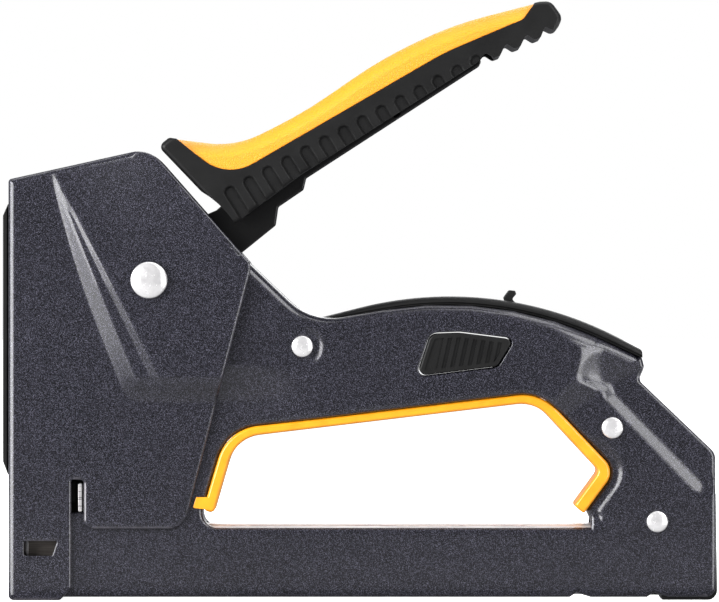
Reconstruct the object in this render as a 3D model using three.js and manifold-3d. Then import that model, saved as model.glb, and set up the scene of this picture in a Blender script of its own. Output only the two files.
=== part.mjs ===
// Heavy-duty hand staple gun, in millimetres.
// X runs along the gun (nose at -X), Y across it, Z up. The gun stands on its nose and its magazine pull,
// and the origin is on that ground line, midway along the length.
import * as THREE from 'three';
import { mergeVertices } from 'three/addons/utils/BufferGeometryUtils.js';
import Module from 'manifold-3d';

const wasm = await Module();
wasm.setup();

// ---------- driving dimensions ----------
const GAP = 0.3; // clearance between neighbours that touch
const CHORD_ERROR = 0.08; // how far a faceted arc may stand off the true one
const FAR = 60; // longer than any part is wide, for cuts that go right through

const COVER_SHEET = 1.2;
const SHELL_SHEET = 1.1;
const NOSE_HALF = 11.6; // half widths, measured from the middle plane
const CHEEK_HALF = 15.2;
const BODY_HALF = 10;
const SWELL_HALF = 12;
const RIM_HALF = 8.2;
const GRIP_HALF = 14.2;
const STRIP_HALF = 8;
const CHANNEL_HALF = 6.8;
const GUARD_HALF = 11;
const TONGUE_HALF = 3.6;

const NOSE_X = -91.4; // outer face of the nose
const REAR_X = 92.5; // outer face of the rear column
const BASE_Z = 0.8; // bottom edge of the shells
const ARM_TOP_Z = 18.8; // top edge of the magazine arm

const PIVOT = { x: -54.7, z: 83.2 };
const SQUEEZE = THREE.MathUtils.degToRad(31); // travel of the handle
const FINGER_REACH = 29.3; // pivot to lifter pin
const LIFTER = {
  x: PIVOT.x - FINGER_REACH * Math.cos(SQUEEZE / 2),
  z: PIVOT.z - FINGER_REACH * Math.sin(SQUEEZE / 2),
};
const LIFTER_RADIUS = 1.8;
const LEVER_HALF = 7.6;
const LEVER_SHEET = 1.2;

const BLADE = { front: -88.6, back: -87.4, half: 5.2, bottom: 0.6, top: 77 };
const BLADE_PIN = { radius: 1.5, z: 66, depth: 4 }; // depth is how far it reaches into the striker
const STRIKER = { front: -87.1, back: -79.5, bottom: 31, top: 79.5, half: 5.7 };
const SPRING_X = -83.5;
const SPRING_TOP = 105.4;
const CHANNEL = { front: -87.1, back: 72, bottom: 1.4, top: 19.7, sheet: 1 };
const RAIL = { front: -86.6, back: 86, bottom: 2, top: 15.8, half: 4.6, sheet: 1 };
const ROD = { radius: 1.2, z: 8 };
const RAIL_PIN = { radius: 1.2, x: 81, z: 12 };
const PULL = { front: 74, back: 93, top: 32, half: BODY_HALF - SHELL_SHEET - GAP };
const FOLLOWER = { front: -86.4, back: -68.6 };

// The lock hook turns on its pin; reach is from the pin to the catch bar that it holds when upright.
const LOCK = { x: 22.6, z: 72.6, half: 2.4, pin: 1.2, reach: 14.6, restAngle: THREE.MathUtils.degToRad(19) };

const rectangle = (x0, z0, x1, z1, radius = 0) => [
  [x0, z0, radius],
  [x1, z0, radius],
  [x1, z1, radius],
  [x0, z1, radius],
];

// Where a point of the squeezed handle lies while the handle is open.
function whenOpen([x, z, radius = 0]) {
  const [cos, sin] = [Math.cos(SQUEEZE), Math.sin(SQUEEZE)];
  const [dx, dz] = [x - PIVOT.x, z - PIVOT.z];
  return [PIVOT.x + dx * cos - dz * sin, PIVOT.z + dx * sin + dz * cos, radius];
}
const [catchX, catchZ] = whenOpen([LOCK.x, LOCK.z + LOCK.reach]);
const CATCH = { radius: 1.1, x: catchX, z: catchZ };
// Room in the handle for the upright hook.
const hookSlot = rectangle(LOCK.x - 3, 84, LOCK.x + 7.5, 92.2).map(whenOpen);

// ---------- materials ----------
const finish = (color, roughness, metalness) =>
  new THREE.MeshStandardMaterial({ color, roughness, metalness });
const paint = finish(0x3b3a42, 0.45, 0.6);
const blackPlastic = finish(0x26262a, 0.6, 0);
const rubber = finish(0x1b1b1d, 0.85, 0);
const yellowPlastic = finish(0xfdc814, 0.5, 0);
const trimPlastic = finish(0xf9b01c, 0.5, 0);
const blackSteel = finish(0x17171a, 0.4, 0.7);
const brightSteel = finish(0xc9c6c6, 0.3, 1);
const darkSteel = finish(0x6d6864, 0.4, 1);
const springSteel = finish(0x8c8a88, 0.35, 1);

// ---------- outlines ----------
// A corner is [x, z, radius]. Rounded corners become faceted arcs, finer for a larger base radius.
function roundCorner(before, corner, after, radius, baseRadius, points) {
  const here = new THREE.Vector2(...corner);
  const back = new THREE.Vector2(...before).sub(here).normalize();
  const ahead = new THREE.Vector2(...after).sub(here).normalize();
  const halfAngle = Math.acos(THREE.MathUtils.clamp(back.dot(ahead), -1, 1)) / 2;
  const turn = Math.PI - 2 * halfAngle;
  const centre = back.clone().add(ahead).normalize().multiplyScalar(radius / Math.sin(halfAngle)).add(here);
  const start = back.multiplyScalar(radius / Math.tan(halfAngle)).add(here).sub(centre);
  const end = ahead.multiplyScalar(radius / Math.tan(halfAngle)).add(here).sub(centre);
  const way = Math.sign(start.cross(end));
  const step = 2 * Math.acos(1 - Math.min(CHORD_ERROR / baseRadius, 0.3));
  const count = Math.max(2, Math.ceil(turn / step));
  for (let i = 0; i <= count; i++) {
    points.push(start.clone().rotateAround(new THREE.Vector2(), (way * turn * i) / count).add(centre));
  }
}

function outline(corners, base = corners) {
  const points = [];
  corners.forEach(([x, z, radius = 0], i) => {
    const before = corners.at(i - 1).slice(0, 2);
    const after = corners[(i + 1) % corners.length].slice(0, 2);
    if (radius > 0) roundCorner(before, [x, z], after, radius, base[i][2], points);
    else points.push(new THREE.Vector2(x, z));
  });
  return points;
}

const signedArea = (corners) =>
  corners.reduce((sum, [x, z], i) => {
    const [nextX, nextZ] = corners[(i + 1) % corners.length];
    return sum + (x * nextZ - nextX * z) / 2;
  }, 0);

// Moves every edge of an outline inwards by a distance (outwards when it is negative).
function inset(corners, distance) {
  const side = Math.sign(signedArea(corners));
  return corners.map(([x, z, radius = 0], i) => {
    const here = new THREE.Vector2(x, z);
    const inwards = new THREE.Vector2(...corners.at(i - 1)).sub(here).negate().normalize();
    const outwards = new THREE.Vector2(...corners[(i + 1) % corners.length]).sub(here).normalize();
    const normal = new THREE.Vector2(-inwards.y - outwards.y, inwards.x + outwards.x).normalize();
    const stretch = 1 / Math.max(0.2, normal.dot(new THREE.Vector2(-inwards.y, inwards.x)));
    here.add(normal.multiplyScalar(side * distance * stretch));
    const convex = side * inwards.cross(outwards) > 0;
    return [here.x, here.y, radius > 0 ? Math.max(0.2, radius + (convex ? -distance : distance)) : 0];
  });
}

// ---------- solids ----------
function solid(geometry) {
  geometry.deleteAttribute('normal');
  geometry.deleteAttribute('uv');
  const merged = mergeVertices(geometry, 1e-5);
  const mesh = new wasm.Mesh({
    numProp: 3,
    vertProperties: merged.attributes.position.array,
    triVerts: new Uint32Array(merged.index.array),
  });
  return new wasm.Manifold(mesh);
}

// A side-view outline made solid from y0 to y1.
function flatPlate(corners, y0, y1) {
  const shape = new THREE.Shape(outline(corners));
  const geometry = new THREE.ExtrudeGeometry(shape, { depth: y1 - y0, bevelEnabled: false });
  return solid(geometry.rotateX(Math.PI / 2).translate(0, y1, 0));
}

// The same with rounded rims (or sloped ones, with one step): each layer is the outline, moved inwards.
function roundedPlate(corners, y0, y1, { size, depth, steps }) {
  const base = signedArea(corners) > 0 ? corners : [...corners].reverse();
  const rim = Array.from({ length: steps + 1 }, (_, i) => {
    const angle = (Math.PI / 2) * (i / steps);
    return { inwards: size * (1 - Math.sin(angle)), depth: depth * (1 - Math.cos(angle)) };
  });
  const layers = [
    ...rim.map((layer) => ({ y: y0 + layer.depth, inwards: layer.inwards })),
    ...rim.map((layer) => ({ y: y1 - layer.depth, inwards: layer.inwards })).reverse(),
  ];
  const rings = layers.map(({ inwards }) => outline(inset(base, inwards), base));
  const count = rings[0].length;
  const positions = rings.flatMap((ring, k) => ring.flatMap((point) => [point.x, layers[k].y, point.y]));
  const index = THREE.ShapeUtils.triangulateShape(rings[0], []).flat();
  const last = (rings.length - 1) * count;
  for (const [a, b, c] of THREE.ShapeUtils.triangulateShape(rings.at(-1), [])) {
    index.push(last + c, last + b, last + a);
  }
  for (let k = 0; k < rings.length - 1; k++) {
    for (let i = 0; i < count; i++) {
      const [a, b] = [k * count + i, k * count + ((i + 1) % count)];
      index.push(a, a + count, b + count, a, b + count, b);
    }
  }
  const geometry = new THREE.BufferGeometry();
  geometry.setAttribute('position', new THREE.Float32BufferAttribute(positions, 3));
  geometry.setIndex(index);
  return solid(geometry);
}

function plate(corners, y0, y1, rim) {
  return rim ? roundedPlate(corners, y0, y1, rim) : flatPlate(corners, y0, y1);
}

const slab = (corners, half, rim) => plate(corners, -half, half, rim);
// The same on one side of the middle plane: side is +1 or -1.
const sidePlate = (corners, side, near, far, rim) =>
  plate(corners, Math.min(side * near, side * far), Math.max(side * near, side * far), rim);

function box(x0, y0, z0, x1, y1, z1) {
  const geometry = new THREE.BoxGeometry(x1 - x0, y1 - y0, z1 - z0);
  return solid(geometry.translate((x0 + x1) / 2, (y0 + y1) / 2, (z0 + z1) / 2));
}

// A turned part: profile points are [radius, distance along the axis]. The axis lies along Y.
function turned(profile, x, z, facets = 20) {
  const geometry = new THREE.LatheGeometry(profile.map(([r, y]) => new THREE.Vector2(r, y)), facets);
  return solid(geometry.translate(x, 0, z));
}

const rod = (radius, x, z, y0, y1, facets = 20) =>
  turned([[0, y0], [radius, y0], [radius, y1], [0, y1]], x, z, facets);

// A round bar along X, in the middle plane.
function alongX(radius, x0, x1, z, facets = 12) {
  const geometry = new THREE.CylinderGeometry(radius, radius, x1 - x0, facets);
  return solid(geometry.rotateZ(Math.PI / 2).translate((x0 + x1) / 2, 0, z));
}

// A round wire of the given radius that follows a list of points.
function wire(points, radius, steps, facets = 6) {
  const section = new THREE.Shape();
  section.absarc(0, 0, radius, 0, 2 * Math.PI);
  const path = new THREE.CatmullRomCurve3(points);
  return solid(new THREE.ExtrudeGeometry(section, { curveSegments: facets / 2, steps, extrudePath: path }));
}

// Points of a helix round the Z axis, from z = 0 to z = height.
function helix(radius, turns, height, perTurn) {
  const count = Math.round(turns * perTurn);
  return Array.from({ length: count + 1 }, (_, i) => {
    const angle = (2 * Math.PI * turns * i) / count;
    return new THREE.Vector3(radius * Math.cos(angle), radius * Math.sin(angle), (height * i) / count);
  });
}

function join(first, ...others) {
  return others.reduce((sum, other) => sum.add(other), first);
}

function cut(first, ...others) {
  return others.reduce((rest, other) => rest.subtract(other), first);
}

// ---------- assembly ----------
const gun = new THREE.Group();
gun.name = 'staple_gun';

function place(name, shape, material) {
  const { vertProperties, triVerts } = shape.getMesh();
  const geometry = new THREE.BufferGeometry();
  geometry.setAttribute('position', new THREE.BufferAttribute(vertProperties, 3));
  geometry.setIndex(new THREE.BufferAttribute(triVerts, 1));
  geometry.computeVertexNormals();
  const mesh = new THREE.Mesh(geometry, material);
  mesh.name = name;
  gun.add(mesh);
}

// ---------- front cover ----------
const COVER_TOP = { slope: 0.22, atNose: 109.4 }; // the roof rises towards the rear
const coverTopAt = (x) => COVER_TOP.atNose + COVER_TOP.slope * (x - NOSE_X);
const COVER_PEAK_X = -54.7;
const COVER_CORNER = [-28, 87.2];
const NOSE_BACK_X = -75; // rear edge of the narrow nose
const NOTCH = { back: -71.8, top: 31.3 }; // slot between the nose and the lower cover
const COVER_FOOT = [-45.8, 18.5];

const coverOutline = [
  [NOSE_X, 0, 1.5],
  [-78, 0, 1.2],
  [NOSE_BACK_X, 3, 1.2],
  [NOSE_BACK_X, NOTCH.top, 0.5],
  [NOTCH.back, NOTCH.top, 1],
  [NOTCH.back, COVER_FOOT[1], 2.4],
  [...COVER_FOOT, 5],
  [...COVER_CORNER, 3],
  [COVER_PEAK_X, coverTopAt(COVER_PEAK_X), 8],
  [NOSE_X, coverTopAt(NOSE_X), 1],
];

// The raised cheek runs out past the cover's rear and top edges, and is trimmed to them.
const cheekOutline = [
  [-80.6, 112.5],
  [-55.6, 59.5, 4],
  [-49, 54.2, 6],
  [-20, 54.2],
  [-20, 130],
  [-81.5, 130],
];

function frontCover() {
  const edge = { size: 0.9, depth: 0.9, steps: 2 };
  const slope = { size: 3.4, depth: 3.4, steps: 1 };
  const cheek = slab(cheekOutline, CHEEK_HALF, slope).intersect(slab(coverOutline, CHEEK_HALF, edge));
  const body = join(slab(coverOutline, NOSE_HALF, edge), cheek);

  const roofX = COVER_PEAK_X + 2; // the roof stops here, and the lever comes out behind it
  const inside = [
    [NOSE_X + COVER_SHEET, -FAR],
    [FAR, -FAR],
    [FAR, 2 * FAR],
    [roofX, 2 * FAR],
    [roofX, coverTopAt(roofX) - COVER_SHEET],
    [NOSE_X + COVER_SHEET, coverTopAt(NOSE_X) - COVER_SHEET],
  ];
  const hollow = slab(inside, NOSE_HALF - COVER_SHEET);
  const cheekInside = slab(inset(cheekOutline, 0.7), CHEEK_HALF - COVER_SHEET, slope);
  const cheekHollow = cheekInside.intersect(slab(inside, FAR));

  const windowTop = 15.4;
  const windowBottom = 11.6;
  const noseWindow = [
    [-87.3, windowBottom, 0.5],
    [-80, windowBottom, 0.5],
    [-78.7, windowTop, 0.4],
    [-87.3, windowTop, 0.4],
  ];
  const pivotHole = rod(PIVOT_PIN.shank + GAP, PIVOT.x, PIVOT.z, -FAR, FAR);
  return cut(body, hollow, cheekHollow, slab(noseWindow, FAR), pivotHole);
}

// ---------- rivets and spacers ----------
const PIVOT_PIN = { shank: 2.8, head: 4.75, rise: 2.2 };
const FRAME_PIN = { shank: 1.5, head: 2.75, rise: 1.3 };
const SPACER_RADIUS = 3.2;
const frameRivets = {
  front: { x: -15, z: 66, half: SWELL_HALF },
  rear_upper: { x: 65.6, z: 44.8, half: BODY_HALF },
  rear_lower: { x: 77.3, z: 20.4, half: BODY_HALF },
};

// A rivet across the gun, with a domed head on each side of a stack that is 2 * half thick.
function rivet({ shank, head, rise }, x, z, half) {
  const under = half + GAP;
  const dome = [0, 30, 60, 90].map((degrees) => {
    const angle = THREE.MathUtils.degToRad(degrees);
    return [head * Math.cos(angle), under + rise * (0.35 + 0.65 * Math.sin(angle))];
  });
  dome[dome.length - 1][0] = 0;
  const right = [[shank, under], [head, under], ...dome];
  const left = right.map(([r, y]) => [r, -y]).reverse();
  return turned([...left, ...right], x, z, 24);
}

function spacer(x, z, half) {
  const bore = FRAME_PIN.shank + GAP;
  const end = half - SHELL_SHEET - GAP;
  return cut(rod(SPACER_RADIUS, x, z, -end, end), rod(bore, x, z, -FAR, FAR, 12));
}

// ---------- body shells ----------
const holeOutline = [
  [-42.3, ARM_TOP_Z, 4],
  [60, ARM_TOP_Z],
  [60, 21.2],
  [58.9, 23.6, 1],
  [66.4, 33.6, 4.5],
  [46.9, 54.2, 12],
  [-34.7, 44.4, 12],
];

// Small notches in the bottom edge.
const bottomNotch = (x) => [
  [x - 1.8, BASE_Z - 1],
  [x + 3.7, BASE_Z - 1],
  [x, BASE_Z + 1.1, 0.3],
];

const shellOutline = [
  [-77.5, BASE_Z],
  [REAR_X, BASE_Z, 2.5],
  [REAR_X, 38.2, 3.5],
  [72.6, 57.2, 1.5],
  [74, 60.6, 1.5],
  [73.4, 63, 0.4],
  [34.9, 80.4, 95],
  [-12.5, 72.2, 16],
  [-42, 100.4, 6],
  [-68, 100.4, 8],
  [-68, 22.8],
  [-77.5, 22.8],
];

// The grip part of each shell is swollen outwards, from under the cheeks to the rear corner of the hole.
const swellOutline = [
  [-39.2, 40],
  [50, 44],
  [54, 51, 4],
  [63.5, 58.5, 5],
  [63.5, 100],
  [-77, 114],
  [-51, 57.5, 3],
  [-35.6, 57.5, 1],
];

// Everything but a lower rim along the slanted rear edge is pressed out to the full width.
const raisedOutline = [
  [-100, -20],
  [120, -20],
  [120, 33.4],
  [91.8, 32.2, 0.8],
  [89.6, 30.2, 0.8],
  [65.2, 55.2, 1.5],
  [78, 61.4],
  [60, 120],
  [-100, 120],
];

const padOutline = [
  [15, 58.2, 0.9],
  [35.2, 60.6, 1.2],
  [39.3, 67.9, 1],
  [26, 69.6, 10],
  [18.6, 69.2, 2],
];

// The shells are open on top where the handle swings.
const leverSlot = [
  [-100, 60],
  [-20, 60],
  [-17, 140],
  [-100, 140],
];

function bodyShell(side) {
  const edge = { size: 0.8, depth: 0.8, steps: 2 };
  const swellSlope = { size: 3, depth: 3, steps: 2 };
  const hollowOutline = inset(shellOutline, SHELL_SHEET);

  const raisedSlope = { size: 2.6, depth: BODY_HALF - RIM_HALF, steps: 1 };
  const raised = slab(raisedOutline, BODY_HALF, raisedSlope).intersect(slab(shellOutline, BODY_HALF, edge));
  const wall = join(slab(shellOutline, RIM_HALF, edge), raised);
  const swellTop = slab(inset(shellOutline, -1), SWELL_HALF, { size: 3.2, depth: 3, steps: 3 });
  const swell = slab(swellOutline, SWELL_HALF, swellSlope).intersect(swellTop);
  const outside = join(wall, swell.intersect(slab(shellOutline, FAR)));

  const swellHollow = slab(inset(swellOutline, 0.8), SWELL_HALF - SHELL_SHEET, swellSlope)
    .intersect(slab(inset(shellOutline, 2.4), FAR));
  const raisedHollow = slab(inset(raisedOutline, 0.6), BODY_HALF - SHELL_SHEET, raisedSlope)
    .intersect(slab(hollowOutline, FAR));
  const hollow = cut(
    join(slab(hollowOutline, RIM_HALF - SHELL_SHEET), raisedHollow, swellHollow),
    slab(inset(holeOutline, -SHELL_SHEET), FAR),
  );
  const openings = [
    slab(leverSlot, LEVER_HALF + 0.7),
    slab(rectangle(-100, -10, REAR_X - 1.4, ARM_TOP_Z - SHELL_SHEET), BODY_HALF - SHELL_SHEET),
    slab(rectangle(-100, -10, 70, 24), CHANNEL_HALF + GAP),
    slab(rectangle(70, -10, 110, PULL.top + GAP), BODY_HALF - SHELL_SHEET),
    slab(holeOutline, FAR),
    slab(padOutline, FAR),
    slab(inset(stripTongue, -GAP), TONGUE_HALF + GAP),
    slab(rectangle(-100, 21, -66, 140), BODY_HALF - SHELL_SHEET),
    ...[56.3, 76.4].map((x) => slab(bottomNotch(x), FAR)),
    rod(PIVOT_PIN.shank + GAP, PIVOT.x, PIVOT.z, -FAR, FAR),
    ...Object.values(frameRivets).map(({ x, z }) => rod(FRAME_PIN.shank + GAP, x, z, -FAR, FAR, 12)),
  ];
  const half = sidePlate(rectangle(-120, -10, 120, 140), side, GAP / 2, FAR);
  return cut(outside, hollow, ...openings).intersect(half);
}

// ---------- trim on the body ----------
function frontBumper() {
  const bumper = [
    [NOSE_X - GAP, 32.6],
    [NOSE_X - GAP, 103],
    [NOSE_X - 1.6, 100, 0.8],
    [NOSE_X - 1.6, 36, 0.8],
  ];
  return slab(bumper, 8, { size: 0.3, depth: 1.2, steps: 1 });
}

// The strip is keyed into the gap between the shells by a tongue.
const stripTongue = [
  [-1, 75],
  [34.5, 81, 75],
  [69, 67.2],
  [66, 61.5],
  [35, 72.5, 80],
  [2, 67],
];

function topStrip() {
  const capOutline = [[-30, 50], [-11, 73.3], [35, 84.9, 95], [73.6, 65, 1.2], [73.6, 50]];
  const rounded = slab(capOutline, STRIP_HALF, { size: 1.4, depth: 2.6, steps: 3 });
  const cap = cut(rounded, slab(inset(shellOutline, -GAP), FAR), slab(rectangle(-60, 0, 80, 60), FAR));
  const body = join(cap, slab(stripTongue, TONGUE_HALF));
  const slot = slab(rectangle(LOCK.x - 3, 60, LOCK.x + 21, 90), LOCK.half + GAP);
  return cut(body, slot, rod(LOCK.pin + GAP, LOCK.x, LOCK.z, -5, 5, 12));
}

function gripPad(side) {
  const rim = { size: 0.5, depth: 0.5, steps: 1 };
  const face = sidePlate(inset(padOutline, GAP), side, SWELL_HALF - 1.6, SWELL_HALF + 0.4, rim);
  const stud = sidePlate(rectangle(24, 62.4, 30, 66.6, 1), side, SWELL_HALF - 3, SWELL_HALF - 1);
  return join(face, stud);
}

function fingerGuard() {
  const bandOutline = [
    [-40.5, 23.4, 1.2],
    [-34.3, 44.1, 11.7],
    [46.8, 53.9, 11.7],
    [66, 33.6, 4.2],
    [58, 22.6, 0.6],
    [55.6, 24.6, 1],
    [62.2, 33.6, 1.6],
    [45.6, 51.5, 9.5],
    [-32.3, 42.2, 9.5],
    [-38, 22.6, 1.2],
  ];
  const band = slab(bandOutline, GUARD_HALF, { size: 0.7, depth: 1.1, steps: 2 });
  const tab = [
    [-43.4, 24, 0.3],
    [-38.4, 23.4, 0.3],
    [-38, 26.8, 0.3],
    [-42.6, 26.8, 0.3],
  ];
  const tabs = [1, -1].map((side) => sidePlate(tab, side, BODY_HALF + GAP, GUARD_HALF));
  return join(band, ...tabs);
}

// ---------- nose and striking mechanism ----------
function nosePlate() {
  const half = BLADE.half + 3;
  return box(NOSE_X + COVER_SHEET + GAP, -half, 0, BLADE.front - GAP, half, 34);
}

function driverGuide(side) {
  const guide = rectangle(BLADE.front, 0, BLADE.back, 60);
  return sidePlate(guide, side, BLADE.half + GAP, NOSE_HALF - COVER_SHEET - GAP);
}

function driverBlade() {
  const blade = box(BLADE.front, -BLADE.half, BLADE.bottom, BLADE.back, BLADE.half, BLADE.top);
  return cut(blade, alongX(BLADE_PIN.radius + GAP, BLADE.front - 1, BLADE.back + 1, BLADE_PIN.z));
}

function bladePin() {
  return alongX(BLADE_PIN.radius, BLADE.front + 0.1, STRIKER.front + BLADE_PIN.depth, BLADE_PIN.z);
}

// The block that drives the blade, with a notch on its rear face for the lifter pin.
function striker() {
  const jaw = LIFTER_RADIUS + GAP;
  const block = rectangle(STRIKER.front, STRIKER.bottom, STRIKER.back, STRIKER.top, 0.6);
  const body = slab(block, STRIKER.half, { size: 0.5, depth: 0.5, steps: 1 });
  const pinEnd = STRIKER.front + BLADE_PIN.depth + GAP;
  const pinHole = alongX(BLADE_PIN.radius + GAP, STRIKER.front - 1, pinEnd, BLADE_PIN.z);
  const notch = [
    [-60, LIFTER.z - jaw - 7],
    [-60, LIFTER.z + jaw + 7],
    [LIFTER.x + 1.2, LIFTER.z + jaw],
    [LIFTER.x - 2, LIFTER.z + jaw, 1.8],
    [LIFTER.x - 4, LIFTER.z, 0.1],
    [LIFTER.x - 2, LIFTER.z - jaw, 1.8],
    [LIFTER.x + 1.2, LIFTER.z - jaw],
  ];
  return cut(body, slab(notch, FAR), pinHole);
}

function powerSpring() {
  const wireRadius = 0.9;
  const [turns, perTurn] = [5, 10];
  const bottom = STRIKER.top + GAP + wireRadius;
  const coil = helix(4.6, turns, SPRING_TOP - wireRadius - bottom, perTurn);
  const spring = wire(coil, wireRadius, 60);
  return spring.translate([SPRING_X, 0, bottom]);
}

function springCap() {
  const profile = [[0, -5], [3, -5], [3, 0.3], [6, 0.3], [6, 2.2], [0, 2.2]];
  const geometry = new THREE.LatheGeometry(profile.map(([r, z]) => new THREE.Vector2(r, z)), 20);
  return solid(geometry.rotateX(Math.PI / 2).translate(SPRING_X, 0, SPRING_TOP));
}

function shockAbsorber() {
  return box(STRIKER.front, -7, 25.3, -73.9, 7, STRIKER.bottom - GAP);
}

function guideBracket() {
  const post = box(-73.3, -9.6, 23.1, -72.3, 9.6, 30.3);
  return join(post, box(-87, -8.4, 23.6, -72.5, 8.4, 24.9));
}

// ---------- handle ----------
const LEVER_SLOPE = THREE.MathUtils.degToRad(32.9); // the handle's underside at rest
const leverEnd = { x: 31.6, z: 139.5 };
const alongLever = (distance, above) => [
  leverEnd.x - distance * Math.cos(LEVER_SLOPE) - above * Math.sin(LEVER_SLOPE),
  leverEnd.z - distance * Math.sin(LEVER_SLOPE) + above * Math.cos(LEVER_SLOPE),
];
const LEVER_DEPTH = { tail: 4.2, front: 8 };

const leverOutline = [
  [LIFTER.x + 1.0, LIFTER.z - 4.6, 2],
  [PIVOT.x - 4, PIVOT.z - 9.5, 9],
  [-45, PIVOT.z - 5.4, 6],
  [-30.9, 90.5, 0.5],
  [-22.1, 97.6, 1],
  [-21.4, 102.4, 1],
  [-14.8, 106.9, 1],
  [-14.1, 109.9, 0.6],
  [...alongLever(0, 0), 1.2],
  [...alongLever(-1.5, LEVER_DEPTH.tail), 1],
  [...alongLever(62, LEVER_DEPTH.front), 30],
  [-37.4, 101.4, 1],
  [-58, 92.6, 12],
  [LIFTER.x - 4.6, LIFTER.z + 1.6, 3.2],
];

// A channel, open underneath; ahead of the web it goes on as two separate fingers.
function leverArm() {
  const webStart = -36;
  const body = slab(leverOutline, LEVER_HALF, { size: 0.25, depth: 0.25, steps: 1 });
  const between = LEVER_HALF - LEVER_SHEET;
  const underWeb = [
    [80, 60],
    alongLever(-10, LEVER_DEPTH.tail - 1.5 * LEVER_SHEET),
    [...alongLever(62, LEVER_DEPTH.front - LEVER_SHEET), 30],
    [-38.5, 99.4],
    [-60, 60],
  ];
  return cut(
    body,
    slab(underWeb, between),
    slab(rectangle(-100, 60, webStart, 130), between),
    slab(hookSlot, LOCK.half + GAP),
    rod(PIVOT_PIN.shank + GAP, PIVOT.x, PIVOT.z, -FAR, FAR),
    rod(LIFTER_RADIUS + GAP, LIFTER.x, LIFTER.z, -FAR, FAR, 16),
    rod(CATCH.radius + GAP, CATCH.x, CATCH.z, -FAR, FAR, 12),
  );
}

function lifterPin() {
  return rod(LIFTER_RADIUS, LIFTER.x, LIFTER.z, -LEVER_HALF, LEVER_HALF, 16);
}

// The boundary between the black grip and its yellow insert runs along both outlines.
const gripSeam = [
  [45.3, 155.2, 0],
  [42.7, 151, 4],
  [22, 142.2, 60],
  [-34.6, 109.4, 11.5],
  [-47.6, 119.9, 0],
];

function notches(start, count, pitch) {
  const teeth = Array.from({ length: count }, (_, i) => {
    const x = start.x + i * pitch.x;
    const z = start.z + i * pitch.z;
    return [
      [x, z, 0.7],
      [x + 2.2, z - 1.4, 0.9],
      [x + 3.8, z - 0.8, 0.7],
    ];
  }).flat();
  const [lastX, lastZ] = teeth.at(-1);
  return [...teeth, [lastX + 1.1, lastZ + 2.8, 0.4]];
}

function leverGrip() {
  const lower = [
    [-52.4, 117.9, 1.6],
    [-37.2, 102, 0.6],
    [-33, 97.3, 1.6],
    [-15.2, 110.6, 1],
    [...alongLever(1, 0.8), 1],
    ...notches({ x: 32.6, z: 142.3 }, 3, { x: 5.25, z: 2.35 }),
    [50.9, 147.6, 1.6],
    [52.6, 151.4, 2.5],
    [49.6, 155.6, 2.6],
    [46.6, 155.5, 0.8],
  ];
  const horn = [-49.6, 120.2, 1.2];
  const corners = [...lower, ...gripSeam, horn];
  const around = [...lower.slice(0, 4), [46, 144.6, 2], ...lower.slice(-4), alongLever(20, 20), horn];
  const rim = { size: 1, depth: 1.6, steps: 2 };
  const body = slab(corners, GRIP_HALF).intersect(slab(around, GRIP_HALF, rim));

  const wallInside = 11.4;
  const hollow = inset(
    [
      [-44, 104],
      [-30, 90],
      [-10, 107],
      alongLever(-3.5, -3),
      alongLever(-3.5, LEVER_DEPTH.tail + 0.2),
      [...alongLever(62, LEVER_DEPTH.front + 0.2), 30],
      [-38.5, 101.8],
    ],
    -GAP,
  );
  const shellRelief = [[-60, 80], [-20, 80], [-20, 103.5], [-36, 103.5]];
  const coverCornerRadius = Math.hypot(COVER_CORNER[0] - PIVOT.x, COVER_CORNER[1] - PIVOT.z);
  return cut(
    body,
    slab(hollow, wallInside),
    slab(shellRelief, SWELL_HALF + 0.4),
    slab(hookSlot, LOCK.half + GAP),
    rod(coverCornerRadius - 0.3, PIVOT.x, PIVOT.z, -FAR, FAR, 48),
    ...gripRibs(),
  );
}

// Finger ribs: leaning, round-topped recesses in both sides of the grip.
function gripRibs() {
  const lean = THREE.MathUtils.degToRad(122);
  const [first, count] = [{ x: -34.4, z: 107.2 }, 14];
  const pitch = { x: 4.9, z: 2.62 };
  const depth = 0.9;
  return Array.from({ length: count }, (_, i) => {
    const top = { x: first.x + i * pitch.x, z: first.z + i * pitch.z };
    const length = i < 7 ? 9.6 - 0.7 * i : 5.2;
    const across = { x: 1.5 * Math.sin(lean), z: -1.5 * Math.cos(lean) };
    const down = { x: -length * Math.cos(lean), z: -length * Math.sin(lean) };
    const rib = [
      [top.x - across.x, top.z - across.z, 1.2],
      [top.x - across.x + down.x, top.z - across.z + down.z, 0.4],
      [top.x + across.x + down.x, top.z + across.z + down.z, 0.4],
      [top.x + across.x, top.z + across.z, 1.2],
    ];
    return [1, -1].map((side) => sidePlate(rib, side, GRIP_HALF - depth, GRIP_HALF + 1));
  }).flat();
}

function leverGripInsert() {
  const top = [
    [-32.5, 118, 14],
    [-15, 126.6, 30],
    [5.5, 140.8, 20],
    [24, 149.7, 50],
  ];
  const seam = gripSeam.map(([x, z, r]) => [x - 0.16, z + 0.26, r]).slice(1, -1);
  const ends = [[-46.8, 119.7], [44.6, 154.9]];
  const corners = [ends[0], ...top, ends[1], ...seam];
  const around = [ends[0], ...top, ends[1], [46, 140], [-34, 96], [-60, 110]];
  return slab(corners, GRIP_HALF).intersect(slab(around, GRIP_HALF - 0.4, { size: 3, depth: 7, steps: 4 }));
}

function leverReturnSpring() {
  const radius = 4.3;
  const coils = helix(radius, 3, 5, 10).map((p) => new THREE.Vector3(p.x, p.z - 2.5, p.y));
  const first = new THREE.Vector3(radius + 1, -2.5, -10);
  const last = new THREE.Vector3(radius + 13, 2.5, 6.4);
  return wire([first, ...coils, last], 0.6, 70).translate([PIVOT.x, 0, PIVOT.z]);
}

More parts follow.
